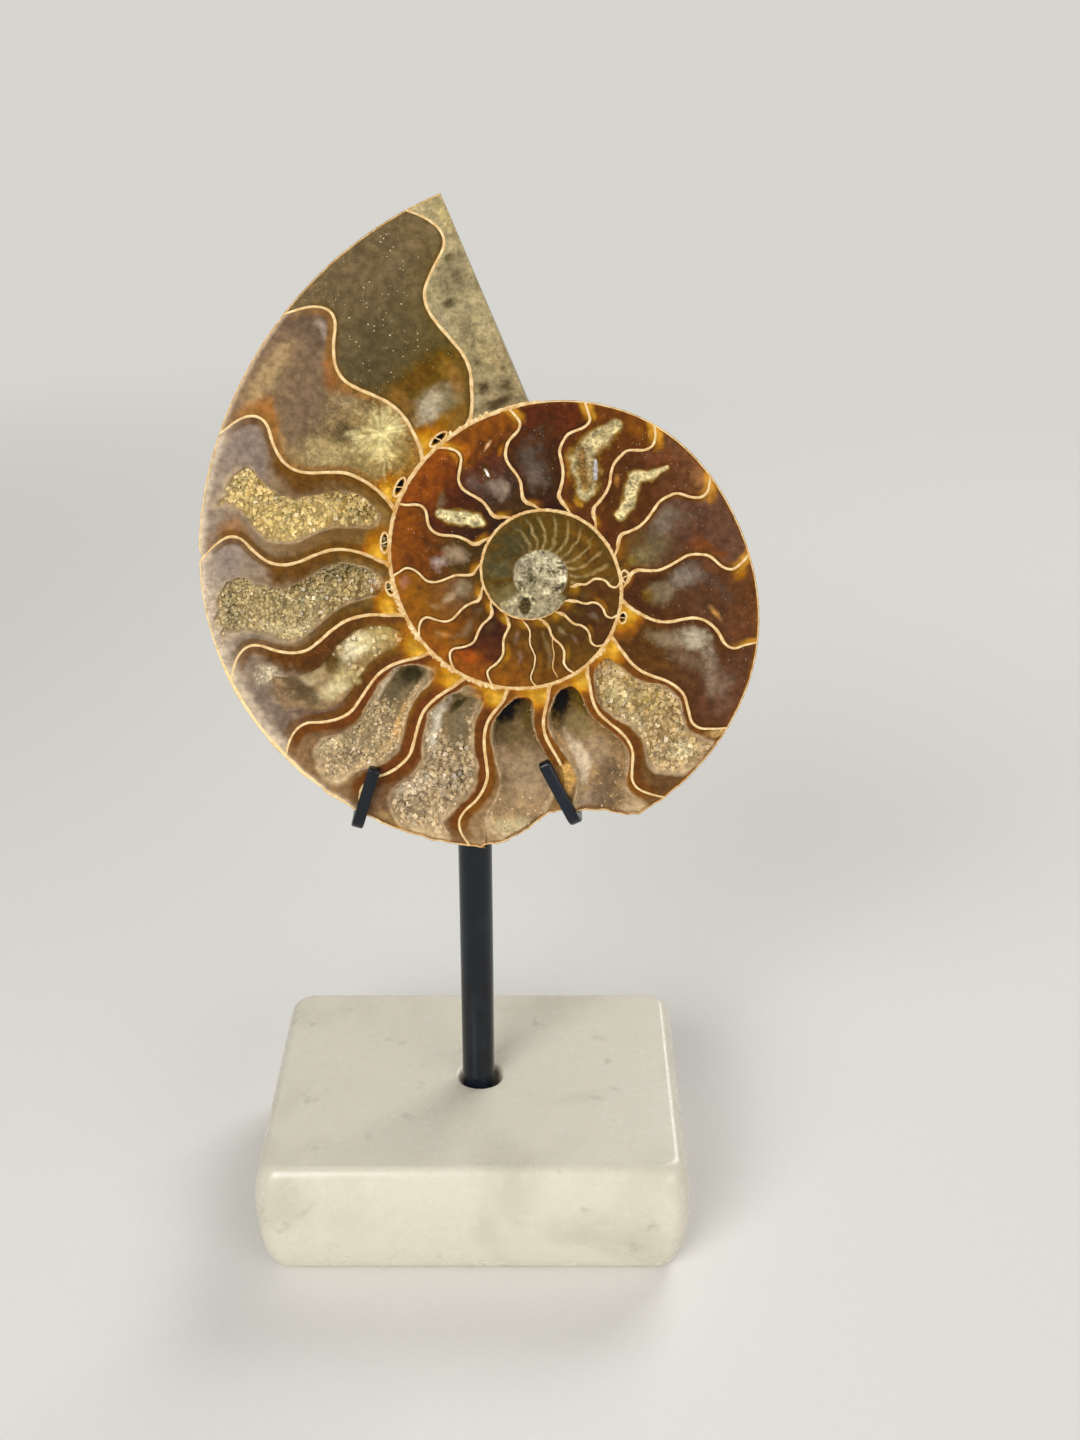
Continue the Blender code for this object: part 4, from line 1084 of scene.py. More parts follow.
def make_walls(tree, nacre):
    """Every line of shell wall on the face: septa, rim, spiral wall and tube holes."""
    lines = Lines()
    for number in range(1, LAST_SEPTUM + 1):
        part = np.linspace(0.0, SHORT_SEPTA.get(number, 1.0), 90)
        part = np.minimum(part, part_limit(septum_turn(number, part)) - 0.002)
        if number < FIRST_INNER_SEPTUM:
            half = np.interp(part, *OUTER_SEPTUM_WIDTH)
        else:
            half = np.interp(part, *INNER_SEPTUM_WIDTH) * (1.0 if number < 20 else 0.85)
        half = half * THIN_SEPTA.get(number, 1.0)
        warmth = np.interp(part, *SEPTUM_WARMTH)
        half = half * (1 + 0.14 * uneven(part * 60, 50 + number))
        lines.add(flat_line(septum_turn(number, part), part), half * MM, warmth)

    merging = np.linspace(0.42, 0.96, 30)
    lines.add(flat_line(smooth_between(merging, *MERGING_LINE), merging), 0.13 * MM, 0.6)

    turned = np.linspace(float(saw_turn(np.array([1.0]))[0]), RIM_LINE_END, 900)
    rim = face_points(*on_face(turned, rim_limit(turned) - 0.00020))
    bare = smoothstep(100, 112, turned) * smoothstep(208, 200, turned)
    half = np.interp(turned, *RIM_WIDTH)
    half = half * (1 + (0.3 + 0.3 * bare) * uneven(turned, 61))
    warmth = np.interp(turned, *RIM_WARMTH)
    lines.add(rim, half * MM, warmth)

    turned = np.linspace(WALL_LINE_START, WALL_SHOWN_TO, 1200)
    radius = wall_radius(turned)
    wall = face_points(*on_face(turned, radius + 0.00006 * uneven(turned, 62)))
    half = np.interp(turned, *WALL_WIDTH)
    warmth = np.interp(turned, *WALL_WARMTH)
    lines.add(wall, half * (1 + 0.16 * uneven(turned, 63)) * MM, warmth)

    for middle, half_length in TUBE_HOLES:
        around = np.linspace(0, 2 * math.pi, 28, endpoint=False)
        angle = middle + (half_length + 0.9) * np.cos(around)
        clear = TUBE_HOLE_CLEAR + (TUBE_HOLE_HALF_WIDTH + 0.00022) * np.sin(around)
        loop = face_points(*on_face(angle, wall_radius(angle + 360.0) + clear))
        lines.add(loop, 0.22 * MM * (1 + 0.3 * uneven(around * 2, 70)), 0.35, closed=True)
        split = middle + 0.25 * half_length * np.array([-1.0, 1.0])
        reach = wall_radius(split + 360.0) + np.array([0.0004, 0.0018])
        bar = face_points(*on_face(split, reach))
        lines.add(bar, 0.13 * MM, 0.35)
    lines.grow("septa_and_walls", tree, 0.16, (0.0, -1.0, 0.0), nacre)


def bead_tree():
    """Geometry Nodes: small uneven lumps on every point of a line, each of its own size."""
    inputs = {"Points": "Geometry", "Seed": "Int", "Material": "Material"}
    tree, add, given = new_tree("tube_lumps", inputs, "Lumps")
    size = add("GeometryNodeInputNamedAttribute", {"Name": "half_width"}, data_type="FLOAT")
    lump = add("GeometryNodeMeshIcoSphere", {"Radius": 1.0, "Subdivisions": 2})
    turn = add(
        "FunctionNodeRandomValue",
        {"Min": (0.0, 0.0, 0.0), "Max": (0.0, 6.3, 0.0), "Seed": given["Seed"]},
        data_type="FLOAT_VECTOR",
    )
    shape = add("ShaderNodeVectorMath", {0: (1.1, 0.3, 0.9), "Scale": size}, operation="SCALE")
    placed = add(
        "GeometryNodeInstanceOnPoints",
        {
            "Points": given["Points"],
            "Instance": lump,
            "Rotation": turn,
            "Scale": shape,
        },
    )
    real = add("GeometryNodeRealizeInstances", {"Geometry": placed})
    smooth = add("GeometryNodeSetShadeSmooth", {"Geometry": real})
    dress_tree(add, smooth, given["Material"], "Lumps")
    return tree


def make_tube_lumps(nacre):
    """Pale lumps of the feeding tube, along the outside of the second whorl's wall."""
    rng = np.random.default_rng(7)
    turned = np.concatenate([
        np.linspace(1, 14, 8), np.linspace(76, 92, 16), np.linspace(96, 104, 8),
        np.linspace(112, 124, 12), np.linspace(131, 147, 13), np.linspace(201, 206, 4),
    ])
    turned = turned + rng.uniform(-0.5, 0.5, len(turned))
    clear = rng.uniform(0.0001, 0.0006, len(turned))
    points = face_points(*on_face(turned, wall_radius(turned + 360.0) + clear))
    size = rng.uniform(0.34, 0.56, len(turned)) * MM
    looks = {"half_width": size, "warmth": rng.uniform(0.1, 0.6, len(turned))}
    source = make_piece("lump_points", points, [], None, attributes=looks)
    grown("tube_lumps", bead_tree(), source, {"Seed": 3, "Material": nacre})


# --- crystals ---


def crystal_tree():
    """Geometry Nodes: blunt calcite crystals strewn over the open chambers' floors."""
    inputs = {
        "Floor": "Geometry", "Crystals per square metre": "Float",
        "Seed": "Int", "Material": "Material",
    }
    tree, add, given = new_tree("druse", inputs, "Crystals")
    cover = add("GeometryNodeInputNamedAttribute", {"Name": "cover"}, data_type="FLOAT")
    grain = add("GeometryNodeInputNamedAttribute", {"Name": "grain"}, data_type="FLOAT")
    density = add(
        "ShaderNodeMath",
        {0: cover, 1: given["Crystals per square metre"]},
        operation="MULTIPLY",
    )
    strewn = add(
        "GeometryNodeDistributePointsOnFaces",
        {"Mesh": given["Floor"], "Density": density, "Seed": given["Seed"]},
    )
    block = add("GeometryNodeMeshCube", {"Size": (1.0, 0.8, 1.1)})
    turn = add(
        "FunctionNodeRandomValue",
        {"Min": (0.0, 0.0, 0.0), "Max": (6.3, 6.3, 6.3), "Seed": given["Seed"]},
        data_type="FLOAT_VECTOR",
    )
    swell = add(
        "FunctionNodeRandomValue",
        {"Min": 0.35, "Max": 1.25, "Seed": given["Seed"]},
        data_type="FLOAT",
    )
    size = add("ShaderNodeMath", {0: grain, 1: swell}, operation="MULTIPLY")
    clear = add("FunctionNodeRandomValue", {"Seed": 9}, data_type="FLOAT")
    placed = add(
        "GeometryNodeInstanceOnPoints",
        {
            "Points": strewn,
            "Instance": block,
            "Rotation": turn,
            "Scale": size,
        },
    )
    marked = add(
        "GeometryNodeStoreNamedAttribute",
        {"Geometry": placed, "Name": "clearness", "Value": clear},
        data_type="FLOAT",
        domain="INSTANCE",
    )
    real = add("GeometryNodeRealizeInstances", {"Geometry": marked})
    dress_tree(add, real, given["Material"], "Crystals")
    return tree


def make_druse(floors, druse):
    """Crystal lining of the open chambers."""
    points, faces, looks = [], [], {"tint": [], "cover": [], "grain": []}
    for number, patch, rows, columns, patch_looks, part, spread, depth in floors:
        _, _, tone, size_out, size_in, cover = FLOORS[number]
        grain = np.interp(part, (0.15, 0.85), (size_in, size_out)) * MM
        room = np.clip(depth / 0.0008, 0, 1)
        bare = np.ones_like(part)
        if number == 5:
            bare = smoothstep(0.58, 0.44, part)
        if number in DEEP_POCKETS:
            bare = smoothstep(0.80, 0.97, spread) * 3 + smoothstep(0.72, 0.84, part) * 2.2
        if number in RUBBLE_POCKETS:
            lips = smoothstep(0.74, 0.90, spread) * smoothstep(0.20, 0.35, part)
            bare = np.maximum(smoothstep(0.46, 0.62, part), lips)
        wander = smooth_noise(patch, 0.0045, 81, 2)
        thick = cover * bare * room * smoothstep(-1.0, 0.1, wander + 0.5 * cover)
        tint = patch_looks["tint"] * (1 + 0.25 * smooth_noise(patch, 0.0007, 82)[:, None])
        tint = tint + (np.array(linear(tone)) - tint) * 0.45
        open_floor = (depth > 0.0004).reshape(rows, columns)
        quads = np.array(grid_faces(rows, columns))
        kept = open_floor.ravel()[quads].all(axis=1)
        start = sum(len(block) for block in points)
        faces += (quads[kept] + start).tolist()
        points.append(patch)
        looks["tint"].append(np.clip(tint, 0, 1))
        looks["cover"].append(thick * (0.8 * MM / np.maximum(grain, 0.3 * MM)) ** 2)
        looks["grain"].append(np.minimum(grain, 0.35 * MM + depth * 0.6))
    looks = {label: np.concatenate(values) for label, values in looks.items()}
    source = make_piece("druse_floor", np.concatenate(points), faces, None, attributes=looks)
    inputs = {"Crystals per square metre": 2.6e6, "Seed": 4, "Material": druse}
    grown("druse", crystal_tree(), source, inputs)


# --- the shell's back ---

BACK_COLUMNS = 480
MOUTH_LEAN = 0.09
STEPS_PER_KNOT = 3


def section_rows(last_knot):
    """Part and height along the whorl's section, smoothly through its knots."""
    place = np.linspace(0, last_knot, int(last_knot * STEPS_PER_KNOT) + 1)
    knots = np.array(WHORL_SECTION)
    knots = np.vstack([2 * knots[0] - knots[1], knots, 2 * knots[-1] - knots[-2]])
    first = np.clip(place.astype(int), 0, len(WHORL_SECTION) - 2) + 1
    return through_knots(knots, first, (place - first + 1)[:, None]).T


def flank_points(column, part, height):
    """Points of the back, on sections that lean as the saw cut does."""
    turn = 360.0 * column / BACK_COLUMNS
    radius = part * wall_radius(turn)
    for _ in range(SETTLING_STEPS):
        turned = saw_lean(radius) + turn
        radius = part * wall_radius(turned)
    size = wall_radius(turned)
    flank = np.sin(np.pi * np.clip((part - RIB_START) / (1 - RIB_START), 0, 1))
    sway = 4.0 * np.sin(5.5 * part)
    rib = 0.5 + 0.5 * np.cos(np.radians(360.0 / RIB_DEGREES) * (turn + sway))
    swell = RIB_HEIGHT * flank * (2 * rib**1.4 - 1) * size / wall_radius(0.0)
    away = height * THICKNESS_PER_RADIUS * size + swell
    near_mouth = smoothstep(24, 0, turn)
    turned = turned + np.degrees(MOUTH_LEAN * near_mouth * np.maximum(away, 0) / radius)
    real_edge = np.where(turned < RIM_END, rim_limit(np.minimum(turned, RIM_END)), 1.0)
    broken = radius > real_edge
    radius = np.minimum(radius, real_edge)
    x, z = on_face(turned, radius)
    spots = np.stack([x, away, z], -1).reshape(-1, 3)
    crumbs = smooth_noise(spots, 0.0016, 91, 2).reshape(x.shape)
    grown_lines = smooth_noise(
        np.stack([turned * 0.001, part * 0.004, 0 * part], -1).reshape(-1, 3), 0.0014, 92
    ).reshape(x.shape)
    away = away + np.where(broken & (away > 0.0006), 0.00022 * crumbs, 0.00006 * grown_lines * flank)
    y = FACE_Y + np.maximum(away, JUST_BEHIND)
    return np.stack([x, y, z], -1), turned, broken


def make_back(shell_stone, matrix_stone):
    """The shell's outside: one strip that winds inwards, each turn sewn to the turn inside it."""
    part, height = section_rows(len(WHORL_SECTION) - 1)
    seam_rows = SHOWN_IN_UMBILICUS * STEPS_PER_KNOT + 1
    count = BACK_COLUMNS + 1
    column = np.arange(count)[:, None] + 0 * part[None, :]
    whole, turned, broken = flank_points(column, 0 * column + part, 0 * column + height)
    whole[:, -1, 1] = FACE_Y + JUST_BEHIND
    rows = len(part)
    points = [whole.reshape(-1, 3)]
    looks = {
        "turned": [turned.ravel()],
        "part": [(0 * column + part).ravel()],
        "broken": [broken.astype(float).ravel()],
    }
    faces = np.array(grid_faces(count, rows))

    inner_count = int(BACK_COLUMNS * (TURNS_SHOWN - 1)) + 1
    inner_column = np.arange(inner_count)[:, None] + BACK_COLUMNS
    near_part, near_height = part[:seam_rows], height[:seam_rows]
    grid = inner_column + 0 * near_part[None, :]
    coil, coil_turned, _ = flank_points(grid, 0 * grid + near_part, 0 * grid + near_height)
    start = len(points[0])
    sewn = np.arange(inner_count)
    strip = np.empty((inner_count, seam_rows + 1), int)
    strip[:, :seam_rows] = start + np.arange(inner_count * seam_rows).reshape(inner_count, -1)
    first_turn = sewn <= BACK_COLUMNS
    strip[first_turn, seam_rows] = sewn[first_turn] * rows
    strip[~first_turn, seam_rows] = strip[sewn[~first_turn] - BACK_COLUMNS, 0]
    quads = [
        (strip[k, j], strip[k, j + 1], strip[k + 1, j + 1], strip[k + 1, j])
        for k in range(inner_count - 1)
        for j in range(seam_rows)
    ]
    points.append(coil.reshape(-1, 3))
    looks["turned"].append(coil_turned.ravel())
    looks["part"].append((0 * grid + near_part).ravel())
    looks["broken"].append(np.zeros(coil_turned.size))

    navel = [int(strip[k, 0]) for k in range(inner_count - BACK_COLUMNS, inner_count)]
    ring = navel + [int(strip[-1, j]) for j in range(1, seam_rows + 1)]
    points = np.concatenate(points)
    middle = points[ring].mean(axis=0)
    middle[1] = points[ring][:, 1].min()
    points = np.vstack([points, middle])
    for label, value in (("turned", 900.0), ("part", 0.3), ("broken", 0.0)):
        looks[label] = np.concatenate(looks[label] + [[value]])
    apex = len(points) - 1
    fan = [(a, b, apex) for a, b in zip(ring, ring[1:] + ring[:1])]
    faces = faces.tolist() + [tuple(int(v) for v in quad) for quad in quads] + fan
    make_piece("shell_back", points, faces, shell_stone, attributes=looks)

    mouth_outer = whole[0]
    under = whole[-1, seam_rows:]
    outline = np.concatenate([mouth_outer, under[::-1]])
    make_sawn_mouth(outline, matrix_stone)


def make_sawn_mouth(outline, matrix_stone):
    """The sawn cross-section at the mouth, filled with grey limestone."""
    bm = bmesh.new()
    ring = [bm.verts.new(point) for point in outline]
    edges = [bm.edges.new(pair) for pair in zip(ring, ring[1:] + ring[:1])]
    bmesh.ops.triangle_fill(bm, use_beauty=True, use_dissolve=False, edges=edges)
    bmesh.ops.subdivide_edges(bm, edges=bm.edges, cuts=2, use_grid_fill=True)
    bmesh.ops.triangulate(bm, faces=bm.faces)
    bmesh.ops.recalc_face_normals(bm, faces=bm.faces)
    along = np.subtract(SAW_FOOT, SAW_TIP)
    outward = Vector((-along[1], 0.0, along[0]))
    if sum((face.normal.dot(outward) * face.calc_area() for face in bm.faces)) < 0:
        bmesh.ops.reverse_faces(bm, faces=bm.faces)
    mesh = bpy.data.meshes.new("sawn_mouth")
    bm.to_mesh(mesh)
    bm.free()
    mesh.materials.append(matrix_stone)
    put_in_scene("sawn_mouth", mesh)


# --- the stand ---

BASE_HALF_LENGTH = 0.050
BASE_HALF_DEPTH = 0.0385
BASE_HEIGHT = 0.031
BASE_CORNER = 0.0050
BASE_WALL_MM = (
    (0.0, -4.2), (0.35, -3.2), (0.9, -2.6), (1.6, -1.9), (2.5, -1.3), (5.0, -0.2), (9.0, 0.7),
    (14.0, 1.3), (19.0, 1.5), (23.0, 1.4), (26.5, 0.9), (28.2, 0.45), (29.4, -0.05),
    (30.2, -0.6), (30.7, -1.15), (31.0, -1.9),
)
CORNER_POINTS = 12
SIDE_POINTS = 6
HOLE_X = 0.0011
HOLE_RADIUS = 0.0052
HOLE_DEPTH = 0.022
HOLE_CHAMFER = 0.0007
POST_X = 0.0006
POST_RADIUS = 0.0040
POST_TOP = 0.1340
POST_FOOT = BASE_HEIGHT - HOLE_DEPTH + 0.0003
POST_SIDES = 72
BAR_WIDTH = 0.0027
BAR_THICKNESS = 0.0022
BAR_BEND = 0.0022
PRONG_FEET = ((-0.0252, 0.1106), (0.0240, 0.1116))
PRONG_TIPS = ((-0.0207, 0.1250), (0.0168, 0.1264))
GAP = 0.0003


def rounded_outline(half_length, half_depth, radius):
    """A rounded rectangle, counter-clockwise from above, with points along its sides too."""
    corners = []
    for corner in range(4):
        side_x = 1 if corner in (0, 3) else -1
        side_y = 1 if corner in (0, 1) else -1
        angle = np.radians(90.0 * (corner + np.arange(CORNER_POINTS) / (CORNER_POINTS - 1)))
        x = side_x * (half_length - radius) + radius * np.cos(angle)
        y = side_y * (half_depth - radius) + radius * np.sin(angle)
        corners.append(np.stack([x, y], -1))
    points = []
    for corner, following in zip(corners, corners[1:] + corners[:1]):
        share = np.arange(1, SIDE_POINTS + 1)[:, None] / (SIDE_POINTS + 1)
        points += [corner, corner[-1] * (1 - share) + following[0] * share]
    return np.concatenate(points)


def stack_rings(rings, close_low=False, close_high=False):
    """Points and faces of a skin through rings of equally many points."""
    columns = len(rings[0])
    points = np.concatenate(rings)
    faces = grid_faces(len(rings), columns, closed=True)
    if close_low:
        faces.append(list(range(columns))[::-1])
    if close_high:
        faces.append(list(range(len(points) - columns, len(points))))
    return points, faces


def make_base(marble):
    """The marble block: bulging sides, an eased top edge, and the blind hole for the post."""

    def ring(half_length, half_depth, corner, z):
        flat = rounded_outline(half_length, half_depth, corner)
        return np.column_stack([flat, np.full(len(flat), z)])

    rings = []
    for z, out in BASE_WALL_MM:
        length, depth = BASE_HALF_LENGTH + out * MM, BASE_HALF_DEPTH + out * MM
        rings.append(ring(length, depth, BASE_CORNER + out * MM / 2, z * MM))
    underside = [ring(BASE_HALF_LENGTH - 0.0048, BASE_HALF_DEPTH - 0.0048, 0.0028, 0.0)]
    last = BASE_WALL_MM[-1][1] * MM
    top = []
    for inset in (0.0004, 0.0040):
        length, depth = BASE_HALF_LENGTH + last - inset, BASE_HALF_DEPTH + last - inset
        top.append(ring(length, depth, BASE_CORNER + last / 2, BASE_HEIGHT))
    around = np.arctan2(rings[0][:, 1], rings[0][:, 0] - HOLE_X)

    def hole_ring(radius, z):
        x, y = HOLE_X + radius * np.cos(around), radius * np.sin(around)
        return np.column_stack([x, y, np.full(len(x), z)])

    floor = BASE_HEIGHT - HOLE_DEPTH
    wide = HOLE_RADIUS + HOLE_CHAMFER
    hole = [
        hole_ring(wide + 0.0030, BASE_HEIGHT),
        hole_ring(wide + 0.0003, BASE_HEIGHT),
        hole_ring(wide, BASE_HEIGHT - 0.00005),
        hole_ring(HOLE_RADIUS + 0.0001, BASE_HEIGHT - HOLE_CHAMFER),
        hole_ring(HOLE_RADIUS, BASE_HEIGHT - HOLE_CHAMFER - 0.0003),
        hole_ring(HOLE_RADIUS, floor + 0.0002),
        hole_ring(HOLE_RADIUS - 0.0002, floor),
    ]
    points, faces = stack_rings(underside + rings + top + hole, True, True)
    make_piece("marble_block", points, faces, marble)


def make_post(black_paint):
    """The round rod, with eased ends."""
    around = np.linspace(0, 2 * math.pi, POST_SIDES, endpoint=False)

    def ring(radius, z):
        x, y = POST_X + radius * np.cos(around), radius * np.sin(around)
        return np.column_stack([x, y, np.full(POST_SIDES, z)])

    profile = []
    for turn in np.radians((0, 30, 60, 90)):
        ease = 0.0005
        profile.append((POST_RADIUS - ease * (1 - math.sin(turn)), ease * (1 - math.cos(turn))))
    rings = [ring(radius, POST_FOOT + rise) for radius, rise in profile]
    rings += [ring(POST_RADIUS, z) for z in np.linspace(POST_FOOT + 0.001, POST_TOP - 0.001, 12)]
    rings += [ring(radius, POST_TOP - rise) for radius, rise in profile[::-1]]
    points, faces = stack_rings(rings, True, True)
    make_piece("round_rod", points, faces, black_paint)


def hook_path(foot, tip, inward):
    """Centre points and across-the-bar directions, from a prong's tip round to the post."""
    back = Vector((0, 1, 0))
    foot = Vector((foot[0], FACE_Y - GAP - BAR_THICKNESS / 2, foot[1]))
    tip = Vector((tip[0], foot.y, tip[1]))
    prong = (tip - foot).normalized()
    across = back.cross(prong) * inward
    weld_height = (PRONG_FEET[0][1] + PRONG_FEET[1][1]) / 2
    weld = Vector((POST_X, -POST_RADIUS - GAP - BAR_WIDTH / 2, weld_height))
    corner = Vector((foot.x, weld.y, foot.z))
    to_post = (weld - corner).normalized()

    path = [(tip, across), (tip - prong * 0.0006, across)]
    bends = ((foot, prong, back, across, across), (corner, -back, to_post, across, -back))
    steps = 12
    for place, start, end, across_start, across_end in bends:
        for k in range(steps + 1):
            turn = math.radians(90.0 * k / steps)
            leg_in = start * BAR_BEND * (1 - math.sin(turn))
            leg_out = end * BAR_BEND * (1 - math.cos(turn))
            if across_start == across_end:
                width = across_start
            else:
                width = across_start * math.cos(turn) + across_end * math.sin(turn)
            path.append((place + leg_in + leg_out, width))
    path.append((weld, -back))
    return path


def make_cradle(black_paint):
    """The flat bar, bent under the rim into two prongs, with rolled edges and eased tips."""
    left = hook_path(PRONG_FEET[0], PRONG_TIPS[0], 1)
    right = hook_path(PRONG_FEET[1], PRONG_TIPS[1], -1)
    path = left + right[-2::-1]
    half_w, half_t, edge = BAR_WIDTH / 2, BAR_THICKNESS / 2, 0.00045
    outline = []
    for corner, (side_a, side_b) in enumerate(((1, 1), (-1, 1), (-1, -1), (1, -1))):
        for k in range(5):
            turn = math.radians(90.0 * corner + 22.5 * k)
            a = side_a * (half_w - edge) + edge * math.cos(turn)
            b = side_b * (half_t - edge) + edge * math.sin(turn)
            outline.append((a, b))
    rings = []
    for k, (centre, width) in enumerate(path):
        along = (path[min(k + 1, len(path) - 1)][0] - path[max(k - 1, 0)][0]).normalized()
        width = (width - along * width.dot(along)).normalized()
        thick = along.cross(width)
        ease = 0.85 if k in (0, len(path) - 1) else 1.0
        rings.append(np.array([centre + (width * a + thick * b) * ease for a, b in outline]))
    points, faces = stack_rings(rings, True, True)
    make_piece("prong_cradle", points, faces, black_paint)


# --- materials ---

COLOURS = {"data_type": "RGBA"}
EASED = {"interpolation_type": "SMOOTHSTEP"}
FROM_0_TO_1 = {1: 0.0, 2: 1.0}
ROOM_TONE = "#d7d5d0"


def new_material(name):
    material = bpy.data.materials.new(name)
    material.use_nodes = True
    material.node_tree.nodes.clear()
    add = functools.partial(add_node, material.node_tree)
    return material, add, add("ShaderNodeTexCoord").outputs["Object"]


def surfaced(material, add, sockets):
    """Ends a material in one shader with these sockets."""
    shader = add("ShaderNodeBsdfPrincipled", sockets)
    add("ShaderNodeOutputMaterial", {"Surface": shader})
    return material


def laid_over(add, colour, mask, low, high, most, tone):
    """The colour with a tone laid over it, from nothing where the mask is low to most of it."""
    amount = add("ShaderNodeMapRange", {0: mask, 1: low, 2: high, 3: 0.0, 4: most}, **EASED)
    return add("ShaderNodeMix", {0: amount, 6: colour, 7: tone}, **COLOURS)


def background_ray(add):
    """1 for the rays that show the background to the camera, straight or by way of the object."""
    ray = add("ShaderNodeLightPath").outputs
    seen = add(
        "ShaderNodeMath", {0: ray["Is Camera Ray"], 1: ray["Is Glossy Ray"]}, operation="ADD"
    )
    return add(
        "ShaderNodeMath", {0: seen, 1: ray["Is Transmission Ray"]}, operation="ADD",
        use_clamp=True,
    )


def per_mm(size_mm):
    """Scale of a noise whose swells are about this many millimetres across."""
    return 1.0 / (size_mm * MM)


def polished_calcite():
    """Sawn and lapped calcite fillings: clear gloss over sugary, cloudy and mahogany crystal."""
    material, add, place = new_material("polished_calcite")
    tint = add("ShaderNodeAttribute", attribute_name="tint")
    sugar = add("ShaderNodeAttribute", attribute_name="sugar").outputs["Fac"]
    speck = add("ShaderNodeAttribute", attribute_name="speck").outputs["Fac"]
    dull = add("ShaderNodeAttribute", attribute_name="dull").outputs["Fac"]

    # Cloudy swells of 1.6 mm, which fade where sugar falls below 0: there the stone is smooth.
    cloud = add(
        "ShaderNodeTexNoise",
        {"Vector": place, "Scale": per_mm(1.6), "Detail": 5.0, "Roughness": 0.62},
    )
    darkest = add("ShaderNodeMapRange", {0: sugar, 1: -1.0, 2: 0.0, 3: 0.97, 4: 0.72})
    lightest = add("ShaderNodeMapRange", {0: sugar, 1: -1.0, 2: 0.0, 3: 1.03, 4: 1.28})
    lighter = add(
        "ShaderNodeMapRange", {0: cloud, 1: 0.30, 2: 0.72, 3: darkest, 4: lightest}, **EASED
    )
    shade = add("ShaderNodeVectorMath", {0: tint, "Scale": lighter}, operation="SCALE")

    # Crystal grains about 0.5 mm across, where the filling is sugary.
    grains = add("ShaderNodeTexVoronoi", {"Vector": place, "Scale": per_mm(0.55)})
    level = add("ShaderNodeSeparateColor", {0: grains.outputs["Color"]})
    facet = add("ShaderNodeMapRange", {0: level, **FROM_0_TO_1, 3: 0.48, 4: 1.52})
    grained = add("ShaderNodeVectorMath", {0: shade, "Scale": facet}, operation="SCALE")
    colour = add("ShaderNodeMix", {0: sugar, 6: shade, 7: grained}, **COLOURS)
    dust = add("ShaderNodeTexNoise", {"Vector": place, "Scale": per_mm(0.28), "Detail": 3.0})
    flour = add("ShaderNodeMapRange", {0: dust, 1: 0.58, 2: 0.72}, **EASED)
    flour_amount = add("ShaderNodeMapRange", {0: sugar, 1: 0.0, 2: 0.9, 3: 0.0, 4: 0.45}, **EASED)
    floured = add("ShaderNodeMath", {0: flour, 1: flour_amount}, operation="MULTIPLY")
    colour = add("ShaderNodeMix", {0: floured, 6: colour, 7: "#d8c79c"}, **COLOURS)

    # White mineral specks up to 0.6 mm across, most of them far smaller, in loose swarms.
    pepper = add("ShaderNodeTexVoronoi", {"Vector": place, "Scale": per_mm(0.62)})
    pick = add("ShaderNodeSeparateColor", {0: pepper.outputs["Color"]})
    rare = add("ShaderNodeMath", {0: pick, 1: 1.9}, operation="POWER")
    reach = add("ShaderNodeMath", {0: rare, 1: 0.28, 2: -0.02}, operation="MULTIPLY_ADD")
    inside = add("ShaderNodeMath", {0: reach, 1: pepper}, operation="SUBTRACT")
    dot = add("ShaderNodeMapRange", {0: inside, 1: -0.03, 2: 0.07}, **EASED)
    swarm = add("ShaderNodeTexNoise", {"Vector": place, "Scale": per_mm(5.0)})
    swarming = add("ShaderNodeMapRange", {0: swarm, 1: 0.40, 2: 0.56, 3: 0.25, 4: 1.0}, **EASED)
    shown = add("ShaderNodeMath", {0: dot, 1: swarming}, operation="MULTIPLY")
    shown = add("ShaderNodeMath", {0: shown, 1: speck}, operation="MULTIPLY")
    colour = add("ShaderNodeMix", {0: shown, 6: colour, 7: "#d6caa6"}, **COLOURS)

    rough = add("ShaderNodeMapRange", {0: dull, **FROM_0_TO_1, 3: 0.14, 4: 0.55})
    relief = add("ShaderNodeMapRange", {0: dull, **FROM_0_TO_1, 3: 0.03, 4: 1.0})
    height = add("ShaderNodeMath", {0: dust, 1: relief}, operation="MULTIPLY")
    bump = add("ShaderNodeBump", {"Strength": 0.6, "Distance": 0.0003, "Height": height})
    return surfaced(material, add, {
        "Base Color": colour, "Roughness": rough, "IOR": 1.45, "Specular IOR Level": 0.16,
        "Normal": bump,
    })


def nacre_wall():
    """Shell wall and septa, once nacre and now pale calcite: cream lines, amber where stained."""
    material, add, place = new_material("nacre_wall")
    warmth = add("ShaderNodeAttribute", attribute_name="warmth").outputs["Fac"]
    stain = add("ShaderNodeTexNoise", {"Vector": place, "Scale": per_mm(1.3), "Detail": 4.0})
    swing = add("ShaderNodeMapRange", {0: stain, 1: 0.3, 2: 0.7, 3: -0.28, 4: 0.28}, **EASED)
    amber = add("ShaderNodeMath", {0: warmth, 1: swing}, operation="ADD", use_clamp=True)
    colour = add("ShaderNodeMix", {0: amber, 6: "#efd5a0", 7: "#b87e2c"}, **COLOURS)
    rough = add("ShaderNodeMapRange", {0: stain, 1: 0.3, 2: 0.7, 3: 0.20, 4: 0.34})
    return surfaced(material, add, {
        "Base Color": colour, "Roughness": rough, "Specular IOR Level": 0.3,
    })


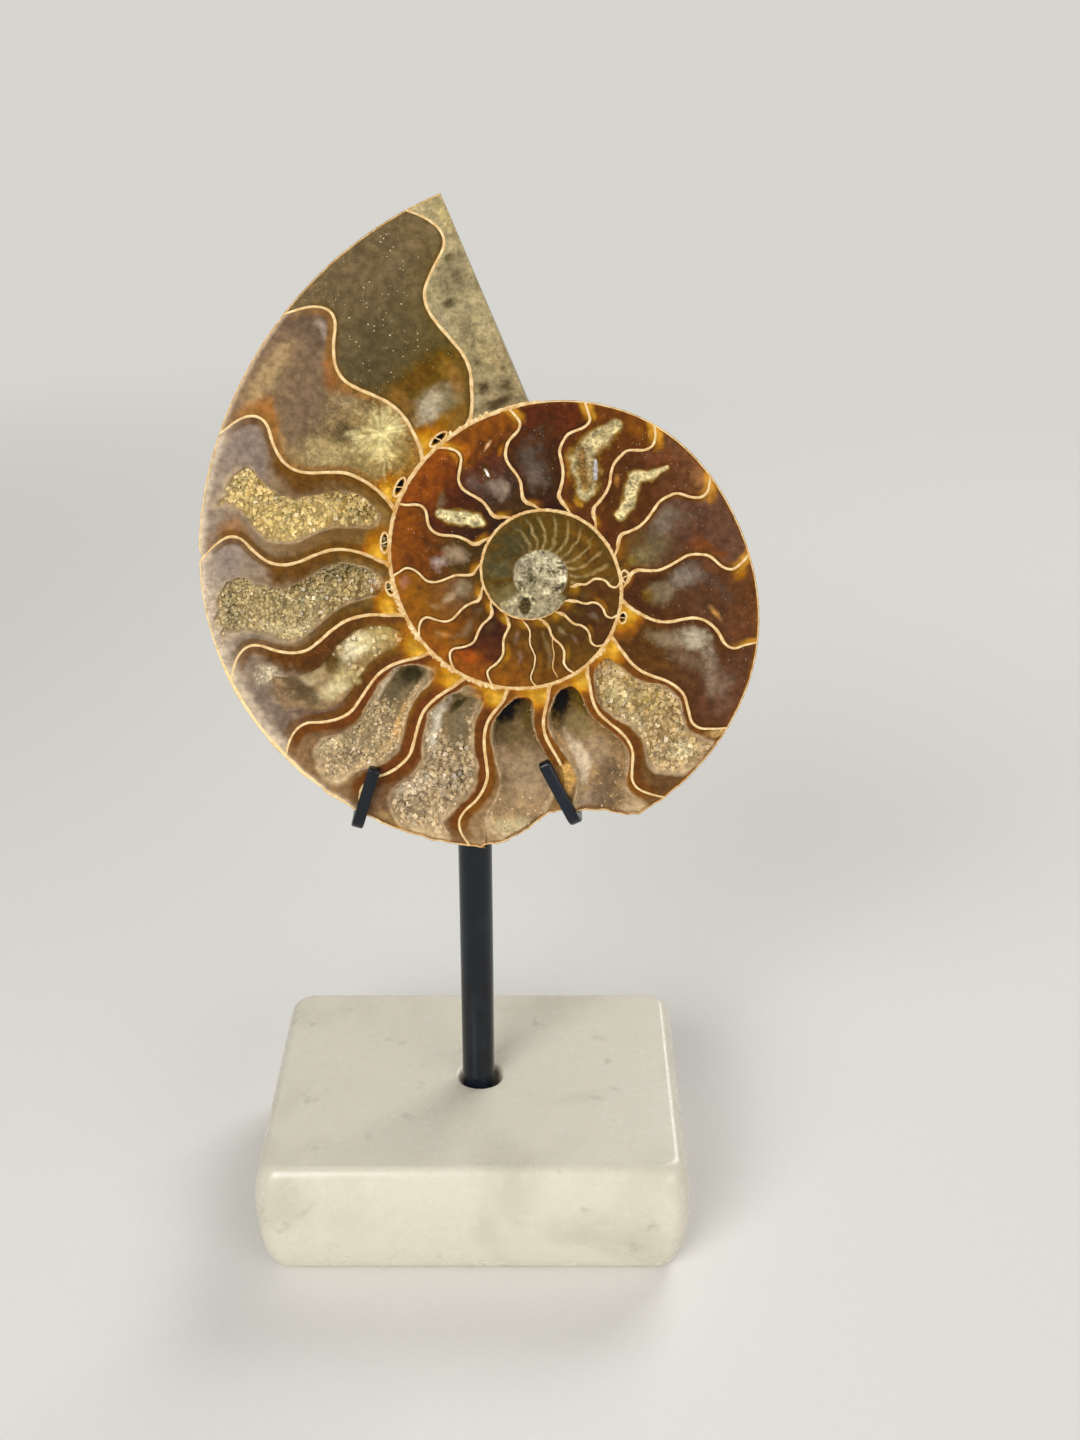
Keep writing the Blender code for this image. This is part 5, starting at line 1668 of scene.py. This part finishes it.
def calcite_druse():
    """Small blunt calcite crystals: cloudy cream bodies with glassy faces that catch the light."""
    material, add, place = new_material("calcite_druse")
    tint = add("ShaderNodeAttribute", attribute_name="tint")
    clearness = add("ShaderNodeAttribute", attribute_name="clearness").outputs["Fac"]
    cloud = add("ShaderNodeTexNoise", {"Vector": place, "Scale": per_mm(0.9), "Detail": 3.0})
    stained = laid_over(add, tint, cloud, 0.42, 0.75, 0.40, "#6e4c22")
    level = add("ShaderNodeMapRange", {0: clearness, **FROM_0_TO_1, 3: 0.62, 4: 1.60})
    colour = add("ShaderNodeVectorMath", {0: stained, "Scale": level}, operation="SCALE")
    rough = add("ShaderNodeMapRange", {0: cloud, 1: 0.3, 2: 0.7, 3: 0.22, 4: 0.38})
    return surfaced(material, add, {
        "Base Color": colour, "Roughness": rough, "IOR": 1.55,
    })


def shell_flank():
    """Outside of the fossil shell: worn tan and grey calcite, growth lines, frilled sutures."""
    material, add, place = new_material("fossil_shell_flank")
    turned = add("ShaderNodeAttribute", attribute_name="turned").outputs["Fac"]
    part = add("ShaderNodeAttribute", attribute_name="part").outputs["Fac"]
    broken = add("ShaderNodeAttribute", attribute_name="broken").outputs["Fac"]
    cloud = add(
        "ShaderNodeTexNoise",
        {"Vector": place, "Scale": per_mm(9.0), "Detail": 6.0, "Roughness": 0.6},
    )
    fine = add("ShaderNodeTexNoise", {"Vector": place, "Scale": per_mm(1.1), "Detail": 5.0})
    rust = add("ShaderNodeTexNoise", {"Vector": place, "Scale": per_mm(16.0), "Detail": 4.0})
    worn = add("ShaderNodeMapRange", {0: cloud, 1: 0.36, 2: 0.64}, **EASED)
    colour = add("ShaderNodeMix", {0: worn, 6: "#866c4a", 7: "#ab9470"}, **COLOURS)
    colour = laid_over(add, colour, fine, 0.50, 0.72, 0.35, "#5a4128")
    colour = laid_over(add, colour, rust, 0.52, 0.72, 0.45, "#8a4c20")

    # Growth lines, about one a millimetre at the rim.
    twice = add("ShaderNodeMath", {0: part, 1: 2.0}, operation="MULTIPLY")
    laid = add("ShaderNodeCombineXYZ", {"X": turned, "Y": twice})
    lined = add("ShaderNodeTexNoise", {"Vector": laid, "Scale": 0.9, "Detail": 3.0})
    colour = laid_over(add, colour, lined, 0.45, 0.62, 0.35, "#6a5236")

    # Frilled suture lines, where the septa meet the outside, one about every 21 degrees.
    round_it = add("ShaderNodeMath", {0: turned, 1: 0.05}, operation="MULTIPLY")
    across = add("ShaderNodeMath", {0: part, 1: 4.0}, operation="MULTIPLY")
    spot = add("ShaderNodeCombineXYZ", {"X": round_it, "Y": across})
    frill = add(
        "ShaderNodeTexNoise",
        {"Vector": spot, "Scale": 3.2, "Detail": 4.0, "Roughness": 0.66, "Distortion": 0.6},
    )
    waves = add("ShaderNodeMath", {0: part, 1: 24.0}, operation="MULTIPLY")
    lobes = add("ShaderNodeMath", {0: waves}, operation="SINE")
    leaves = add("ShaderNodeMath", {0: part, 1: 96.0}, operation="MULTIPLY")
    leaflets = add("ShaderNodeMath", {0: leaves}, operation="SINE")
    septa = add("ShaderNodeMath", {0: turned, 1: 1 / 21.0}, operation="MULTIPLY")
    bent = add("ShaderNodeMath", {0: lobes, 1: 0.17, 2: septa}, operation="MULTIPLY_ADD")
    leafy = add("ShaderNodeMath", {0: leaflets, 1: 0.06, 2: bent}, operation="MULTIPLY_ADD")
    frilled = add("ShaderNodeMath", {0: frill, 1: 0.42, 2: leafy}, operation="MULTIPLY_ADD")
    place_in_one = add("ShaderNodeMath", {0: frilled}, operation="FRACT")
    beside = add("ShaderNodeMath", {0: place_in_one, 1: 0.5}, operation="SUBTRACT")
    gap = add("ShaderNodeMath", {0: beside}, operation="ABSOLUTE")
    suture = add("ShaderNodeMapRange", {0: gap, 1: 0.014, 2: 0.036, 3: 0.70, 4: 0.0}, **EASED)
    whole = add("ShaderNodeMath", {0: 1.0, 1: broken}, operation="SUBTRACT", use_clamp=True)
    drawn = add("ShaderNodeMath", {0: suture, 1: whole}, operation="MULTIPLY")
    colour = add("ShaderNodeMix", {0: drawn, 6: colour, 7: "#38230f"}, **COLOURS)
    fresh = add("ShaderNodeMix", {0: fine, 6: "#8c7250", 7: "#c4a878"}, **COLOURS)
    colour = add("ShaderNodeMix", {0: broken, 6: colour, 7: fresh}, **COLOURS)

    rough = add("ShaderNodeMapRange", {0: cloud, 1: 0.3, 2: 0.7, 3: 0.34, 4: 0.58})
    height = add("ShaderNodeMath", {0: lined, 1: 0.5, 2: fine}, operation="MULTIPLY_ADD")
    bump = add("ShaderNodeBump", {"Strength": 0.7, "Distance": 0.0004, "Height": height})
    return surfaced(material, add, {
        "Base Color": colour, "Roughness": rough, "Normal": bump,
    })


def sawn_limestone():
    """Limestone that filled the mouth, cut with a coarse saw: matt grey-beige with faint grooves."""
    material, add, place = new_material("sawn_limestone")
    cloud = add("ShaderNodeTexNoise", {"Vector": place, "Scale": per_mm(4.0), "Detail": 6.0})
    grain = add("ShaderNodeTexVoronoi", {"Vector": place, "Scale": per_mm(0.8)})
    level = add("ShaderNodeSeparateColor", {0: grain.outputs["Color"]})
    bed = add("ShaderNodeMapRange", {0: cloud, 1: 0.35, 2: 0.65}, **EASED)
    colour = add("ShaderNodeMix", {0: bed, 6: "#80765c", 7: "#a79c80"}, **COLOURS)
    colour = laid_over(add, colour, level, 0.7, 1.0, 0.5, "#5c513c")
    rough = add("ShaderNodeMapRange", {0: cloud, 1: 0.3, 2: 0.7, 3: 0.55, 4: 0.72})

    # Grooves 0.9 mm apart, as a saw with coarse grit leaves them; a wave repeats 6.3 times a unit.
    grooves = add(
        "ShaderNodeTexWave",
        {"Vector": place, "Scale": per_mm(0.9) / 6.3, "Distortion": 2.0, "Detail": 2.0},
        bands_direction="Y",
    )
    height = add(
        "ShaderNodeMath", {0: grooves.outputs[1], 1: 0.4, 2: level},
        operation="MULTIPLY_ADD",
    )
    bump = add("ShaderNodeBump", {"Strength": 0.4, "Distance": 0.0002, "Height": height})
    return surfaced(material, add, {
        "Base Color": colour, "Roughness": rough, "Normal": bump,
    })


def ivory_marble():
    """Honed and waxed white marble: a soft, even ivory glow with a few faint grey clouds."""
    material, add, place = new_material("ivory_marble")
    cloud = add(
        "ShaderNodeTexNoise",
        {"Vector": place, "Scale": per_mm(30.0), "Detail": 3.0, "Distortion": 0.5},
    )
    colour = laid_over(add, "#d4cfbd", cloud, 0.50, 0.74, 0.55, "#b5af9b")
    smudge = add(
        "ShaderNodeTexNoise",
        {"Vector": place, "Scale": per_mm(9.0), "Detail": 4.0, "Roughness": 0.6},
    )
    colour = laid_over(add, colour, smudge, 0.62, 0.78, 0.6, "#97917d")
    grain = add("ShaderNodeTexVoronoi", {"Vector": place, "Scale": per_mm(0.9)})
    level = add("ShaderNodeSeparateColor", {0: grain.outputs["Color"]})
    sparkle = add("ShaderNodeMapRange", {0: level, **FROM_0_TO_1, 3: 0.0, 4: 0.08})
    colour = add("ShaderNodeMix", {0: sparkle, 6: colour, 7: "#a49e8b"}, **COLOURS)
    rough = add("ShaderNodeMapRange", {0: smudge, 1: 0.3, 2: 0.7, 3: 0.20, 4: 0.32})
    bump = add("ShaderNodeBump", {"Strength": 0.10, "Distance": 0.0005, "Height": smudge})
    return surfaced(material, add, {
        "Base Color": colour, "Roughness": rough, "IOR": 1.50, "Subsurface Weight": 0.25,
        "Subsurface Radius": (0.004, 0.003, 0.002), "Subsurface Scale": 1.0, "Normal": bump,
    })


def black_enamel():
    """Black paint sprayed on steel: dark blue-black gloss with a slight orange peel."""
    material, add, place = new_material("black_enamel")
    wide = add("ShaderNodeTexNoise", {"Vector": place, "Scale": per_mm(9.0), "Detail": 4.0})
    thin = add("ShaderNodeMapRange", {0: wide, 1: 0.4, 2: 0.7}, **EASED)
    colour = add("ShaderNodeMix", {0: thin, 6: "#0b1018", 7: "#141a24"}, **COLOURS)
    rough = add("ShaderNodeMapRange", {0: wide, 1: 0.3, 2: 0.7, 3: 0.15, 4: 0.28})
    peel = add("ShaderNodeTexNoise", {"Vector": place, "Scale": per_mm(1.4), "Detail": 3.0})
    bump = add("ShaderNodeBump", {"Strength": 0.15, "Distance": 0.0002, "Height": peel})
    return surfaced(material, add, {
        "Base Color": colour, "Roughness": rough, "Specular IOR Level": 0.32, "Normal": bump,
    })


def seamless_paper():
    """Matt studio paper: an even pale grey that holds the object's shadow and fades to the room."""
    material, add, place = new_material("seamless_paper")
    tooth = add("ShaderNodeTexNoise", {"Vector": place, "Scale": per_mm(2.0), "Detail": 3.0})
    colour = add("ShaderNodeMix", {0: tooth, 6: "#e0deda", 7: "#e4e2de"}, **COLOURS)
    shader = add("ShaderNodeBsdfPrincipled", {
        "Base Color": colour, "Roughness": 0.9, "Specular IOR Level": 0.2,
    })
    # Away from the object the paper takes the room's even tone.
    away = add("ShaderNodeVectorMath", {0: place}, operation="LENGTH")
    far = add("ShaderNodeMapRange", {0: away.outputs["Value"], 1: 0.35, 2: 1.0}, **EASED)
    shown = add("ShaderNodeMath", {0: far, 1: background_ray(add)}, operation="MULTIPLY")
    even = add("ShaderNodeEmission", {"Color": ROOM_TONE, "Strength": 1.0})
    mixed = add("ShaderNodeMixShader", {0: shown, 1: shader, 2: even})
    add("ShaderNodeOutputMaterial", {"Surface": mixed})
    return material


# --- floor, light and camera ---


def make_sweep(paper):
    """A pale paper floor that curves up into a backdrop."""
    half_width, front, bend_start, radius, top = 1.5, -0.9, 1.1, 0.6, 2.6
    profile = [(front, 0.0), (-0.6, 0.0), (bend_start, 0.0)]
    for turn in np.radians(np.linspace(0, 90, 25))[1:]:
        profile.append((bend_start + radius * math.sin(turn), radius * (1 - math.cos(turn))))
    profile.append((bend_start + radius, top))
    points = [(side * half_width, y, z) for y, z in profile for side in (-1, 1)]
    sweep = make_piece("paper_sweep", points, grid_faces(len(profile), 2), paper)


def add_softbox(name, place, target, size, watts, spread):
    light = bpy.data.lights.new(name, "AREA")
    light.shape = "RECTANGLE"
    light.size, light.size_y = size
    light.energy = watts
    light.spread = math.radians(spread)
    lamp = put_in_scene(name, light)
    lamp.location = place
    lamp.rotation_euler = (Vector(target) - Vector(place)).to_track_quat("-Z", "Y").to_euler()
    lamp.visible_camera = False


def light_scene():
    middle = (0.0, 0.0, 0.14)
    add_softbox("key_softbox", (-0.50, -1.00, 0.70), middle, (0.7, 0.7), 3.45, 90)
    add_softbox("front_fill", (0.75, -0.95, 0.45), middle, (0.9, 0.9), 1.62, 90)
    add_softbox("back_fill", (0.6, 1.0, 0.95), middle, (0.8, 0.8), 5.0, 120)
    world = bpy.data.worlds.new("studio")
    bpy.context.scene.world = world
    world.use_nodes = True
    world.node_tree.nodes.clear()
    add = functools.partial(add_node, world.node_tree)
    seen = background_ray(add)
    strength = add("ShaderNodeMapRange", {0: seen, **FROM_0_TO_1, 3: 0.37, 4: 1.0})
    room = add("ShaderNodeBackground", {"Color": ROOM_TONE, "Strength": strength})
    add("ShaderNodeOutputWorld", {"Surface": room})


def place_camera():
    data = bpy.data.cameras.new("camera")
    data.sensor_width = 36.0
    data.lens = 46.25
    camera = put_in_scene("camera", data)
    camera.location = (0.016, -0.389, 0.302)
    camera.rotation_euler = (math.radians(66.0), 0.0, 0.0)
    bpy.context.scene.camera = camera


# --- putting it together ---

calcite, nacre, druse_calcite = polished_calcite(), nacre_wall(), calcite_druse()
marble, enamel = ivory_marble(), black_enamel()

pocket_floors = make_face(calcite)
make_walls(line_tree(), nacre)
make_tube_lumps(nacre)
make_druse(pocket_floors, druse_calcite)
make_back(shell_flank(), sawn_limestone())
make_base(marble)
make_post(enamel)
make_cradle(enamel)

FOSSIL_PIECES = (
    "face_outer", "face_lower", "face_inner", "face_middle", "septa_and_walls", "tube_lumps",
    "druse", "shell_back", "sawn_mouth",
)
STAND_PIECES = (
    ("marble_block", "marble_base", "marble"),
    ("round_rod", "post", "black_paint"),
    ("prong_cradle", "cradle_bar", "black_paint"),
)
for name in FOSSIL_PIECES:
    piece = bpy.data.objects[name]
    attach(piece, "root")
    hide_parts("ammonite_half")
for name, node, finish in STAND_PIECES:
    piece = bpy.data.objects[name]
    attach(piece, "root")
    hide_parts(node)

make_sweep(seamless_paper())
light_scene()
place_camera()
bpy.context.scene.view_settings.view_transform = "Standard"
